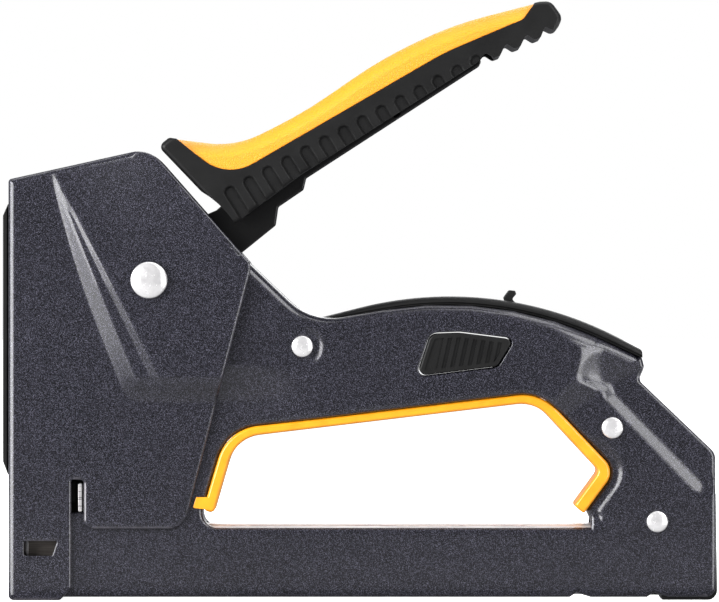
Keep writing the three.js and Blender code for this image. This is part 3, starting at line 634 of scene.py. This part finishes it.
# ---------- rivets ----------
# The radii of the shank and of the head, and the rise of the dome.
PIVOT_PIN = (2.8, 4.75, 2.2)
FRAME_PIN = (1.5, 2.75, 1.3)


def rivet(name, pin, x, z, half):
    """A rivet right across the gun, with a domed head on each side."""
    shank, head, rise = pin
    under = half + GAP
    rim = 0.35 * rise
    dome = [
        (head * cos(radians(d)), under + rim + (rise - rim) * sin(radians(d)))
        for d in range(0, 90, 6)
    ]
    right = [(shank, under), (head - 0.15, under), (head, under + 0.15), *dome, (0, under + rise)]
    left = [(r, -y) for r, y in right][::-1]
    return turned(name, left + right, x, z)


# ---------- trim ----------
def strip_edges(x):
    """Heights of the strip's underside and of its crown at a place along the gun."""
    low = Outline([(-30, 50), (-12.5, 72.2, 0), (34.9, 80.4, 95), (73.4, 63), (73.4, 50)], 1.0, 1.5)
    high = Outline([(-30, 50), (-11, 73.3), (35, 84.9, 95), (73.6, 65, 1.2), (73.6, 50)], 1.0, 1.5)
    found = []
    for shape, lift in ((low, 0.06), (high, 0.0)):
        ring = shape.ring()
        upper = ring[ring[:, 1] > 62.2]
        order = np.argsort(upper[:, 0])
        found.append(np.interp(x, upper[order, 0], upper[order, 1]) + lift)
    return found


def top_strip():
    """An arched cap with a fine groove, a tongue below it, and a slot for the lock."""
    stations = np.concatenate([np.linspace(-10.4, 72.2, 90), 72.2 + 1.35 * np.sin(np.linspace(0.2, 1.5, 6))])
    low, high = strip_edges(stations)
    high = np.maximum(high, low + 0.12)
    rings = []
    for x, bottom, top in zip(stations, low, high):
        thick = top - bottom
        drop = min(1.5, 0.75 * thick)
        groove = bottom + 0.38 * (thick - drop) + 0.1
        nick = min(0.3, 0.2 * thick)
        half = STRIP_HALF
        side = [(half - 0.15, bottom), (half, bottom + 0.1 * thick), (half, groove - nick)]
        side += [(half - nick, groove), (half, groove + nick)]
        for k in range(7):
            a = pi / 2 * k / 6
            side.append((half - 2.6 * (1 - cos(a)), top - drop * (1 - sin(a))))
        side = [(y, min(z, top)) for y, z in side]
        ring = side + [(0, top)] + [(-y, z) for y, z in side[::-1]]
        rings.append([(x, y, z) for y, z in ring])
    cap = closed_solid("strip_moulding", rings)
    tongue_corners = [(-1, 75), (34.5, 81, 75), (69, 67.2), (66, 61.5), (35, 72.5, 80), (2, 67)]
    tongue = slab("tongue", tongue_corners, TONGUE_HALF)
    slot_corners = rectangle(LOCK_X - 3, 60, LOCK_X + 21, 90)
    join(cap, tongue)
    cut(cap, slab("slot", slot_corners, LOCK_HALF + GAP), rod("bore", LOCK_BORE, LOCK_X, LOCK_Z, -5, 5))
    return cap


def grip_pad(name, side):
    opening = Outline(pad_corners)
    inner, outer, floor, beyond = SWELL_HALF - 1.6, SWELL_HALF + 0.35, SWELL_HALF - 0.05, 20
    pad = side_plate(name, opening.moved(GAP), side, inner, outer, 0.45, pitch=1.5, arc_degrees=8)
    pocket = side_plate("pocket", opening.moved(1.5), side, floor, beyond, pitch=1.5)
    count, spacing, width, lean, bottom, top = 9, 2.2, 1.1, 3.3, 57, 72
    ribs = []
    for k in range(count):
        x = 19.3 + spacing * k
        rib = [(x, bottom), (x + width, bottom), (x + width + lean, top), (x + lean, top)]
        ribs.append(side_plate("rib", rib, side, floor - 1, beyond + 1))
    grooves = cut(pocket, one_mesh("ribs", ribs))
    return cut(pad, grooves)


def finger_guard():
    """The trim round the finger hole, with a tab on each side at its front end."""
    band = [
        (-40.85, 23.4, 1.2), (-34.62, 44.33, 11.92), (46.88, 54.13, 11.92), (66.34, 33.6, 4.44),
        (58.2, 22.5, 0.6), (55.6, 24.6, 1), (62.2, 33.6, 1.6), (45.6, 51.5, 9.5),
        (-32.3, 42.2, 9.5), (-38, 22.6, 1.2),
    ]
    guard = slab("guard_band", band, GUARD_HALF, 0.75, 1.1, 5, pitch=2.0, arc_degrees=8)
    tab = [(-43.4, 24, 0.3), (-38.4, 23.4, 0.3), (-38, 26.8, 0.3), (-42.6, 26.8, 0.3)]
    return join(guard, *[side_plate("tab", tab, side, 10.3, GUARD_HALF, 0.2, 2) for side in (1, -1)])


def front_bumper():
    bumper = [(NOSE_X - GAP, 32.6), (NOSE_X - GAP, 103), (NOSE_X - 1.6, 100, 0.8), (NOSE_X - 1.6, 36, 0.8)]
    return slab("bumper_strip", bumper, 8, 0.3, 1.2, 4)


# ---------- handle ----------
# The arm slopes, and its height grows from its tail to its front.
LEVER_SLOPE = radians(32.9)
LEVER_TAIL, LEVER_FRONT = 4.2, 8.0


def along_lever(distance, above):
    """A place on the sloping arm, from its end and above its lower edge."""
    return leaned(-distance, above, LEVER_SLOPE, 31.6, 139.5)


def hook_slot():
    """Room for the lock hook, which comes up into the squeezed handle."""
    corners = [when_open(c) for c in rectangle(LOCK_X - 3, 84, LOCK_X + 7.5, 92.2)]
    return slab("hook_slot", corners, LOCK_HALF + GAP)


def lever_arm():
    """An upturned channel with two fingers that reach forward to the lifter pin."""
    corners = [
        (LIFTER_X + 1.0, LIFTER_Z - 4.6, 2), (PIVOT_X - 4, PIVOT_Z - 9.5, 9),
        (-45, PIVOT_Z - 5.4, 6), (-30.9, 90.5, 0.5), (-22.1, 97.6, 1), (-21.4, 102.4, 1),
        (-14.8, 106.9, 1), (-14.1, 109.9, 0.6), (*along_lever(0, 0), 1.2),
        (*along_lever(-1.5, LEVER_TAIL), 1), (*along_lever(62, LEVER_FRONT), 30), (-37.4, 101.4, 1),
        (-58, 92.6, 12), (LIFTER_X - 4.6, LIFTER_Z + 1.6, 3.2),
    ]
    under_web = [
        (80, 60), along_lever(-10, LEVER_TAIL - 1.5 * LEVER_SHEET),
        (*along_lever(62, LEVER_FRONT - LEVER_SHEET), 30), (-38.5, 99.4), (-60, 60),
    ]
    between = LEVER_HALF - LEVER_SHEET
    lever = slab("lever_channel", corners, LEVER_HALF, 0.4, 0.4, 3)
    return cut(
        lever,
        slab("under_web", under_web, between),
        slab("fork", rectangle(-100, 60, -36, 130), between),
        hook_slot(),
        rod("pivot_bore", PIVOT_BORE, PIVOT_X, PIVOT_Z),
        rod("lifter_bore", LIFTER_BORE, LIFTER_X, LIFTER_Z),
    )


grip_seam = [
    (45.3, 155.2, 0), (42.7, 151, 4), (22, 142.2, 60), (-34.6, 109.4, 11.5), (-47.6, 119.9, 0),
]


def grip_notches():
    """Three teeth under the end of the handle, and the rise to its tip."""
    corners = []
    for i in range(3):
        x, z = 32.6 + 5.25 * i, 142.3 + 2.35 * i
        corners += [(x, z, 0.7), (x + 2.2, z - 1.4, 0.9), (x + 3.8, z - 0.8, 0.7)]
    return corners + [(x + 4.9, z + 2, 0.4)]


def grip_ribs():
    """Leaning, round-topped recesses in both sides of the grip, flared outwards."""
    count, half_width, lean = 14, 1.5, radians(122)
    flare = [(-0.9, 0.3), (-0.25, 0.05), (0.0, -0.3), (0.3, -0.7)]
    ribs = []
    for i in range(count):
        top = (-34.4 + 4.9 * i, 107.2 + 2.62 * i)
        length = 9.6 - 0.7 * i if i < 7 else 5.2
        front, back = (leaned(0, across, lean, *top) for across in (half_width, -half_width))
        front_foot, back_foot = (leaned(-length, 0, lean, *place) for place in (front, back))
        rib = [(*front, 1.3), (*front_foot, 0.4), (*back_foot, 0.4), (*back, 1.3)]
        for side in (1, -1):
            layers = [(side * (GRIP_HALF + out), moved) for out, moved in flare]
            ribs.append(layered("rib", Outline(rib, arc_degrees=18), layers))
    return one_mesh("ribs", ribs)


def lever_grip():
    """The black moulding, with its edges rolled and room for the arm hollowed out."""
    lower = [
        (-52.4, 117.9, 1.6), (-37.2, 102, 0.6), (-33, 97.3, 1.6), (-15.2, 110.6, 1),
        (*along_lever(1, 0.8), 1), *grip_notches(), (50.9, 147.6, 1.6), (52.6, 151.4, 2.5),
        (49.6, 155.6, 2.6), (46.6, 155.5, 0.8),
    ]
    horn = (-49.6, 120.2, 1.2)
    around = [*lower[:4], (46, 144.6, 2), *lower[-4:], along_lever(20, 20), horn]
    grip = slab("grip_moulding", [*lower, *grip_seam, horn], GRIP_HALF + 1)
    around = Outline(around).moved(-CLEAR)
    overlap(grip, slab("rolled", around, GRIP_HALF, 1.3, 1.9, 6, pitch=3))
    hollow = Outline([
        (-44, 104), (-30, 90), (-10, 107), along_lever(-3.5, -3),
        along_lever(-3.5, LEVER_TAIL + 0.2), (*along_lever(62, LEVER_FRONT + 0.2), 30),
        (-38.5, 101.8),
    ]).moved(-GAP)
    relief = [(-60, 80), (-20, 80), (-20, 103.5), (-36, 103.5)]
    sweep = hypot(-28 - PIVOT_X, 87.2 - PIVOT_Z) - 0.3
    return cut(
        grip,
        slab("hollow", hollow, 11.4),
        slab("relief", relief, SWELL_HALF + 0.4),
        hook_slot(),
        rod("sweep", sweep, PIVOT_X, PIVOT_Z, arc_degrees=6),
        grip_ribs(),
    )


def grip_insert():
    """The yellow back of the handle: its sides round over into the top."""
    top = [(-32.5, 118, 24), (-15, 126.6, 115), (5.5, 140.8, 110), (24, 149.7, 95)]
    seam = [(x, z - CLEAR, r) for x, z, r in grip_seam][1:-1]
    ends = [(-47.8, 119.9), (45.4, 155.2)]
    corners = [ends[0], *top, ends[1], *seam]
    insert = slab("insert_moulding", corners, GRIP_HALF - 0.35, 0.3, 0.3, 3, pitch=2, arc_degrees=3)
    around = Outline([ends[0], *top, ends[1], (46, 140), (-34, 96), (-60, 110)]).moved(-CLEAR)
    rolled = slab("rolled", around, GRIP_HALF - 0.3, 4.2, 9, 16, pitch=2, arc_degrees=3)
    return overlap(insert, rolled)


def lock_hook():
    """Its boss turns on the lock pin, and its lip hooks over the catch bar."""
    lip = LOCK_REACH + CATCH_RADIUS + GAP
    boss = 2.3
    stem = -CATCH_RADIUS - GAP
    hook = [
        (-boss, -boss, boss), (-boss, boss, boss), (1.5, boss, 1.5), (5, stem, 1.5),
        (lip, stem, 0.4), (lip, 0.9, 0.5), (lip + 2, 2.3, 0.6), (lip + 3.5, 1.6, 0.3),
        (lip + 3.5, 0.7, 0.3), (lip + 2, -0.2, 0.6), (lip + 2.7, -1.6, 0.6),
        (lip + 2.4, stem - 2.8, 1.2), (3, stem - 2.4, 2),
    ]
    at_rest = [(*leaned(out, up, LOCK_REST, LOCK_X, LOCK_Z), r) for out, up, r in hook]
    body = slab("hook", at_rest, LOCK_HALF, 0.4, 0.4, 3)
    return cut(body, rod("bore", LOCK_BORE, LOCK_X, LOCK_Z))


# ---------- magazine ----------
def folded_channel(name, x0, x1, half, bottom, top, sheet, radius):
    """A channel folded from sheet, open underneath."""
    inner = half - sheet
    corners = [
        (-half, bottom, 0.3), (-inner, bottom, 0.3),
        (-inner, top - sheet, max(0.2, radius - sheet)),
        (inner, top - sheet, max(0.2, radius - sheet)), (inner, bottom, 0.3), (half, bottom, 0.3),
        (half, top, radius), (-half, top, radius),
    ]
    section = Outline(corners, 50, 15).ring()
    return closed_solid(name, [[(x, y, z) for y, z in section] for x in (x0, x1)])


def magazine_channel():
    """Open on one side behind the nose window."""
    channel = folded_channel("channel_fold", -87.1, 72, CHANNEL_HALF, 1.4, 19.7, 1, 1.5)
    return cut(channel, plate("behind_window", rectangle(-90, 10.8, -78.2, 16.2), -FAR, 0))


def magazine_rail():
    """The sliding staple rail, with a solid nose round the guide rod."""
    rail = folded_channel("rail_channel", -86.6, 86, 4.6, 2, 15.8, 1, 1.3)
    nose = plate("nose", [(-86.6, 2.2, 0.6), (-82.6, 2.2), (-82.6, 15.4), (-86.6, 15.4, 0.6)], -4.2, 4.2)
    join(rail, nose)
    rod_hole = wire("rod_hole", [(-90, 0, 8), (-80, 0, 8)], 1.5, 20)
    return cut(rail, rod_hole, rod("pin_hole", RAIL_PIN_BORE, RAIL_PIN_X, RAIL_PIN_Z))


def magazine_pull():
    """A tray, a foot, and a plug with finger grooves across its back."""
    tray = slab("tray", [(74, 1.3, 0.5), (91, 1.3), (91, 14.5), (74, 14.5, 0.5)], PULL_HALF, 0.3, 0.3, 2)
    plug_corners = [(86.4, 0, 0.4), (93, 0, 2.5), (92.6, 28.3, 0.6), (86.4, 26, 0.4)]
    plug = slab("plug", plug_corners, PULL_HALF, 0.35, 0.35, 3)
    top_corners = [(86.7, 20, 0.4), (92.6, 20, 0.5), (92.5, 31.4, 0.6), (86.7, 31.4, 0.4)]
    plug_top = slab("plug_top", top_corners, PLUG_TOP_HALF, 0.35, 0.35, 3)
    foot = slab("foot", [(78.4, 0, 0.6), (90, 0, 1), (90, 4), (78.4, 4)], PULL_HALF, 0.3, 0.3, 2)
    body = join(tray, plug, plug_top, foot)
    body.name = "pull_moulding"
    reach = PULL_HALF - 1.5
    grooves = [rod("groove", 0.8, 93.2, z, -reach, reach) for z in range(7, 28, 5)]
    rail_room = slab("rail_room", rectangle(73, 1.7, 86.3, 16.1), 4.9)
    pin_hole = rod("pin_hole", RAIL_PIN_BORE, RAIL_PIN_X, RAIL_PIN_Z)
    return cut(body, rail_room, pin_hole, one_mesh("grooves", grooves))


# ---------- springs and small parts ----------
def coil_points(radius, turns, length, per_turn, closed=0.0):
    """A helix along Z from 0 to length, with closed turns at both ends."""
    count = int(turns * per_turn)
    points = []
    for i in range(count + 1):
        t = i / count
        level = np.clip((t * turns - closed) / (turns - 2 * closed), 0, 1)
        angle = 2 * pi * turns * t
        points.append((radius * cos(angle), radius * sin(angle), length * level))
    return points


def power_spring():
    low, high = 80.7, 104.5
    coil = coil_points(4.6, 6, high - low, 24, 0.6)
    return wire("spring_coil", [(-83.5 + x, y, low + z) for x, y, z in coil], 0.9, 12)


def follower_spring():
    start, end = -67.7, 79.2
    coil = coil_points(2.3, 34, end - start, 16)
    return wire("follower_coil", [(start + z, x, 8 + y) for x, y, z in coil], 0.38, 8)


def return_spring():
    """A torsion spring round the pivot, with one leg on the frame and one on the lever."""
    coil = [(x, z - 2.5, y) for x, y, z in coil_points(4.3, 3, 5, 24)]
    legs = [(5.3, -2.5, -10), (4.9, -2.5, -5)]
    path = [*legs, *coil, (9, 2.5, 3), (17.3, 2.5, 6.4)]
    return wire("return_coil", [(PIVOT_X + x, y, PIVOT_Z + z) for x, y, z in path], 0.55, 10)


def guide_bracket():
    """A bent strip whose two upright ends show in the slots of the cover."""
    strip = slab("bracket_strip", rectangle(-87, 23.9, -72.3, 24.9, 0.3), 4.6, 0.15, 0.15, 2)
    end = rectangle(-73.3, 23, -72.3, 30.3, 0.3)
    return join(strip, *[side_plate("end", end, side, 4.4, 9.4, 0.15, 2) for side in (1, -1)])


def shock_absorber():
    """The rubber under the striker, with a stop behind the slots of the cover."""
    block = slab("rubber_block", rectangle(-87.1, 25.3, -73.9, 30.7, 0.5), 7, 0.5, 0.5, 3)
    stop = slab("stop", rectangle(-76, 20.2, -71.2, 34.5, 0.5), 4.9, 0.4, 0.4, 3)
    return join(block, stop)


# ---------- materials ----------
class Look:
    """A Principled material, and short ways to add procedural nodes to it."""

    def __init__(self, name):
        self.material = bpy.data.materials.new(name)
        self.material.use_nodes = True
        self.tree = self.material.node_tree
        self.shader = self.tree.nodes["Principled BSDF"]
        self.place = self.node("TexCoord").outputs["Object"]

    def node(self, kind, inputs=None, **properties):
        node = self.tree.nodes.new("ShaderNode" + kind)
        for key, value in properties.items():
            setattr(node, key, value)
        for key, value in (inputs or {}).items():
            self.put(node.inputs[key], value)
        return node

    def put(self, socket, value):
        if isinstance(value, bpy.types.NodeSocket):
            self.tree.links.new(value, socket)
        else:
            socket.default_value = value

    def surface(self, **inputs):
        for key, value in inputs.items():
            self.put(self.shader.inputs[key.replace("_", " ")], value)

    def noise(self, scale, detail=2.0, roughness=0.5, place=None):
        inputs = {"Scale": scale, "Detail": detail, "Roughness": roughness, "Vector": place or self.place}
        return self.node("TexNoise", inputs).outputs["Fac"]

    def cells(self, scale, feature="F1", output="Distance"):
        inputs = {"Scale": scale, "Vector": self.place}
        return self.node("TexVoronoi", inputs, feature=feature).outputs[output]

    def stretched(self, x, y, z):
        inputs = {"Vector": self.place, "Scale": (x, y, z)}
        return self.node("Mapping", inputs).outputs["Vector"]

    def ramp(self, factor, *stops):
        node = self.node("ValToRGB", {"Fac": factor})
        elements = node.color_ramp.elements
        while len(elements) < len(stops):
            elements.new(0.5)
        for element, (at, colour) in zip(elements, stops):
            element.position = at
            element.color = (*colour, 1)
        return node.outputs["Color"]

    def between(self, factor, low, high, start=0.0, end=1.0):
        inputs = {"Value": factor, "From Min": start, "From Max": end, "To Min": low, "To Max": high}
        return self.node("MapRange", inputs).outputs["Result"]

    def mix(self, factor, first, second, blend="MIX"):
        inputs = {"Factor": factor, 6: first, 7: second}
        return self.node("Mix", inputs, data_type="RGBA", blend_type=blend).outputs[2]

    def calculate(self, operation, first, second):
        return self.node("Math", {0: first, 1: second}, operation=operation).outputs[0]

    def bump(self, height, distance, strength):
        """Relief of a height map; the distance is in metres."""
        inputs = {"Height": height, "Distance": distance, "Strength": strength}
        return self.node("Bump", inputs).outputs["Normal"]

    def rubbed_and_highlit_edge(self):
        """1 on sharp outer edges, and 0 on flat and hollow places: marks rubbed paint and a painted
        highlight along the edges.
        """
        pointed = self.node("NewGeometry").outputs["Pointiness"]
        return self.between(pointed, 0.0, 1.0, 0.52, 0.6)


def speckled_paint():
    """Dark metallic hammer paint: fine flakes from near black to grey, and a soft clear coat."""
    look = Look("speckled_paint")
    cells = look.cells(8000, output="Color")
    flakes = look.node("SeparateColor", {"Color": cells}).outputs["Red"]
    colour = look.ramp(
        flakes,
        (0.0, (0.001, 0.001, 0.002)),
        (0.5, (0.0042, 0.0042, 0.0072)),
        (0.8, (0.019, 0.019, 0.029)),
        (1.0, (0.12, 0.117, 0.153)),
    )
    drift = look.ramp(look.noise(38, 3), (0.3, (0.9, 0.9, 0.92)), (0.7, (1.08, 1.08, 1.1)))
    tinted = look.mix(1.0, colour, drift, "MULTIPLY")
    # Sharp edges turn a lighter grey: partly rubbed paint, partly a painted highlight along the rims.
    wear_and_edge_highlight = look.calculate("MULTIPLY", look.rubbed_and_highlit_edge(), look.noise(900, 3))
    grain = look.noise(3600, 2)
    look.surface(
        Base_Color=look.mix(wear_and_edge_highlight, tinted, (0.1, 0.095, 0.11, 1)),
        Metallic=0.35,
        Roughness=look.between(flakes, 0.46, 0.36),
        Normal=look.bump(grain, 0.00002, 0.6),
        Specular_IOR_Level=0.1,
        Coat_Weight=1.0,
        Coat_Roughness=0.2,
    )
    return look.material


def moulded(name, colours, roughness, depth, grain, patches=None, relief=0.6, **finish):
    """Plastic, rubber or enamel with a fine grain; its colour drifts with it or over patches."""
    look = Look(name)
    fine = look.noise(*grain)
    look.surface(
        Base_Color=look.ramp(look.noise(*patches) if patches else fine, *colours),
        Roughness=look.between(fine, *roughness),
        Normal=look.bump(fine, depth, relief),
        **finish,
    )
    return look.material


def leathery_yellow():
    """Soft yellow skin with a fine leathery grain, and painted shade that darkens its creases."""
    look = Look("leathery_yellow")
    creases = look.cells(1500, "DISTANCE_TO_EDGE")
    fine = look.noise(3800, 2)
    pores = look.between(creases, 0.0, 1.0, 0.0, 0.16)
    height = look.calculate("ADD", pores, look.calculate("MULTIPLY", fine, 0.4))
    # The colour follows the grain's height, darker in the creases: painted shade.
    colour = look.ramp(height, (0.15, (0.72, 0.22, 0.002)), (0.75, (0.83, 0.3, 0.004)))
    drift = look.between(look.noise(70, 3), 0.0, 0.5, 0.35, 0.8)
    look.surface(
        Base_Color=look.mix(drift, colour, (0.82, 0.32, 0.005, 1)),
        Roughness=look.between(height, 0.62, 0.5),
        Normal=look.bump(height, 0.00006, 0.8),
        Subsurface_Weight=0.05,
        Subsurface_Scale=0.002,
    )
    return look.material


def metal(name, dark, light, roughness, scale, brushed=True, metallic=1.0):
    """Bare steel, with fine lines along X where it was rolled or brushed."""
    look = Look(name)
    place = look.stretched(0.04, 1, 1) if brushed else look.place
    lines = look.noise(scale, 4, 0.6, place)
    stains = look.noise(90, 4)
    colour = look.ramp(lines, (0.3, dark), (0.7, light))
    tinted = look.mix(look.between(stains, 0.0, 0.35, 0.5, 0.8), colour, (*dark, 1))
    look.surface(
        Base_Color=tinted,
        Metallic=metallic,
        Roughness=look.between(lines, roughness - 0.06, roughness + 0.1, 0.3, 0.7),
        Normal=look.bump(lines, 0.000012, 0.5),
    )
    return look.material


black = [(0.3, (0.004,) * 3), (0.75, (0.008,) * 3)]
enamel = [(0.3, (0.002,) * 3), (0.8, (0.005,) * 3)]
orange = [(0.3, (0.78, 0.28, 0.004)), (0.7, (0.84, 0.34, 0.009))]
looks = {
    "body_paint": speckled_paint(),
    "bumper_rubber": moulded(
        "matt_rubber", black, (0.62, 0.78, 0.3, 0.7), 0.00006, grain=(2600, 3, 0.6), patches=(160, 4),
        relief=0.7, Specular_IOR_Level=0.2,
    ),
    "black_plastic": moulded(
        "black_moulding", black, (0.38, 0.54, 0.3, 0.7), 0.00003, grain=(3400, 3, 0.6), patches=(160, 4),
        relief=0.7, Specular_IOR_Level=0.2,
    ),
    "trim_plastic": moulded(
        "glossy_yellow", orange, (0.26, 0.4), 0.00002, grain=(2600, 2), patches=(260, 4),
        Coat_Weight=0.3, Coat_Roughness=0.15,
    ),
    "grip_plastic": leathery_yellow(),
    "lever_paint": moulded(
        "lever_enamel", enamel, (0.3, 0.42), 0.00003, grain=(2400, 3),
        Specular_IOR_Level=0.15, Coat_Weight=0.15, Coat_Roughness=0.2,
    ),
    "rivet_chrome": metal("plated_rivet", (0.66, 0.65, 0.65), (0.78, 0.77, 0.77), 0.2, 700, False, 0.6),
    "bright_steel": metal("rolled_steel", (0.56, 0.54, 0.54), (0.8, 0.78, 0.78), 0.28, 2200, True, 0.6),
    "dark_steel": metal("oiled_steel", (0.05, 0.044, 0.04), (0.13, 0.118, 0.108), 0.4, 1800),
    "spring_steel": metal("spring_wire", (0.3, 0.29, 0.28), (0.5, 0.49, 0.47), 0.3, 1500, False),
}


# ---------- pieces on their bodies ----------
def paint(obj, slot_name):
    obj.data.materials.clear()
    obj.data.materials.append(looks[slot_name])


def fit(obj, body, slot_name, *nodes, even=True):
    """Gives a piece its material and its body, and puts it in place of its CAD nodes."""
    paint(obj, slot_name)
    if even:
        even_shading(obj)
    if body:
        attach(obj, body)
    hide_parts(*nodes)
    return obj


fit(front_cover(), FRAME, "body_paint", "front_cover", even=False)
for hand, side in HANDS:
    fit(body_shell(f"shell_skin_{hand}", side), FRAME, "body_paint", f"body_shell_{hand}", even=False)
fit(front_bumper(), FRAME, "bumper_rubber", "front_bumper")
fit(top_strip(), FRAME, "black_plastic", "top_strip")
for hand, side in HANDS:
    fit(grip_pad(f"pad_{hand}", side), FRAME, "black_plastic", f"grip_pad_{hand}")
fit(finger_guard(), FRAME, "trim_plastic", "finger_guard")
fit(rivet("rivet_pivot", PIVOT_PIN, PIVOT_X, PIVOT_Z, CHEEK_HALF), FRAME, "rivet_chrome", "pivot_rivet")
for place, (x, z, half) in frame_rivets.items():
    fit(rivet(f"rivet_{place}", FRAME_PIN, x, z, half), FRAME, "rivet_chrome", f"frame_rivet_{place}")
fit(guide_bracket(), FRAME, "bright_steel", "guide_bracket")
fit(shock_absorber(), FRAME, "bumper_rubber", "shock_absorber")
fit(lever_arm(), HANDLE, "lever_paint", "lever_arm")
fit(lever_grip(), HANDLE, "black_plastic", "lever_grip")
fit(grip_insert(), HANDLE, "grip_plastic", "lever_grip_insert")
fit(lock_hook(), LOCK_BODY, "black_plastic", "lock_hook")
fit(magazine_channel(), FRAME, "bright_steel", "magazine_channel")
fit(magazine_rail(), RAIL_BODY, "bright_steel", "magazine_rail")
fit(magazine_pull(), RAIL_BODY, "black_plastic", "magazine_pull")

main_spring = fit(power_spring(), FRAME, "spring_steel", "power_spring", even=False)
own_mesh(main_spring)
pusher_spring = fit(follower_spring(), RAIL_BODY, "spring_steel", "follower_spring", even=False)
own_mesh(pusher_spring)
pivot_spring = fit(return_spring(), None, "spring_steel", "lever_return_spring", even=False)
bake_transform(pivot_spring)

# The CAD nodes that keep their own mesh take the material of their slot.
kept_nodes = {
    "dark_steel": [
        "nose_plate", "driver_guide_left", "driver_guide_right", "blade_pin", "striker", "follower",
        "spacer_front", "spacer_rear_upper", "spacer_rear_lower",
    ],
    "bright_steel": ["driver_blade", "lifter_pin", "lock_pin", "rail_pin", "guide_rod"],
    "lever_paint": ["lever_catch_bar"],
    "black_plastic": ["spring_cap"],
}
for slot_name, names in kept_nodes.items():
    for name in names:
        paint(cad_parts[name], slot_name)


# ---------- studio ----------
def studio_floor():
    """A pale floor that lights nothing and shows in no reflection."""
    size = 12.0
    mesh = bpy.data.meshes.new("floor")
    mesh.from_pydata(rectangle(-size, -size, size, size), [], [(0, 1, 2, 3)])
    floor = placed("floor", mesh)
    look = Look("pale_floor")
    look.surface(
        Base_Color=look.ramp(look.noise(3, 3), (0.3, (0.86,) * 3), (0.7, (0.89,) * 3)),
        Roughness=0.9,
        Emission_Color=(1, 1, 1, 1),
        Emission_Strength=1.0,
    )
    mesh.materials.append(look.material)
    floor.visible_glossy = False
    floor.visible_diffuse = False


def softbox(name, place, aim, width, height, watts):
    """A rectangular light that faces its aim and is not seen itself."""
    light = bpy.data.lights.new(name, "AREA")
    light.shape = "RECTANGLE"
    light.size, light.size_y = width, height
    light.energy = watts
    obj = placed(name, light)
    obj.location = place
    obj.rotation_euler = (Vector(aim) - Vector(place)).to_track_quat("-Z", "Y").to_euler()
    obj.visible_camera = False


def studio_world():
    """White behind the object, and a dimmer even light on it."""
    seen, lighting = 1.0, 0.3
    world = bpy.data.worlds.new("studio")
    world.use_nodes = True
    nodes, links = world.node_tree.nodes, world.node_tree.links
    path = nodes.new("ShaderNodeLightPath")
    shown = nodes.new("ShaderNodeBackground")
    shown.inputs["Color"].default_value = (seen, seen, seen, 1)
    mixed = nodes.new("ShaderNodeMixShader")
    around = nodes["Background"]
    around.inputs["Color"].default_value = (lighting, lighting, lighting * 1.06, 1)
    links.new(path.outputs["Is Camera Ray"], mixed.inputs["Fac"])
    links.new(around.outputs[0], mixed.inputs[1])
    links.new(shown.outputs[0], mixed.inputs[2])
    links.new(mixed.outputs[0], nodes["World Output"].inputs["Surface"])
    bpy.context.scene.world = world


def studio_camera():
    """Square on to the side, from far enough away that it looks flat."""
    low, high = cad_box
    distance = 1.8
    field_width = 0.18694
    camera = bpy.data.cameras.new("camera")
    camera.sensor_width = 36
    camera.lens = camera.sensor_width * distance / field_width
    obj = placed("camera", camera)
    obj.location = (-0.00013, -BODY_HALF * MM - distance, (low.z + high.z) / 2)
    obj.rotation_euler = (pi / 2, 0, 0)
    bpy.context.scene.camera = obj


studio_floor()
studio_world()
studio_camera()
gun_middle = (0, 0, 0.07)
for name, place, width, height, watts in (
    ("left_softbox", (-0.66, -0.42, 0.24), 0.8, 0.6, 17),
    ("right_softbox", (0.58, -0.54, 0.12), 0.42, 0.45, 4),
    ("high_softbox", (0.9, -0.6, 0.95), 0.7, 0.7, 9),
    ("top_softbox", (0.1, 0.15, 1.3), 1.2, 0.8, 9),
    ("rear_softbox", (0.3, 1.3, 0.6), 1.0, 0.8, 7),
):
    softbox(name, place, gun_middle, width, height, watts)
# Panels that lie on the floor and shine straight up give the light a white table would throw back.
for x, y, width, depth, watts in (
    (-0.4, 0, 0.36, 0.6, 2.4),
    (0.4, 0, 0.36, 0.6, 1.8),
    (0, -0.2, 0.4, 0.36, 0.2),
):
    softbox("floor_panel", (x, y, 0.002), (x, y, 1), width, depth, watts)
bpy.context.scene.view_settings.view_transform = "Standard"
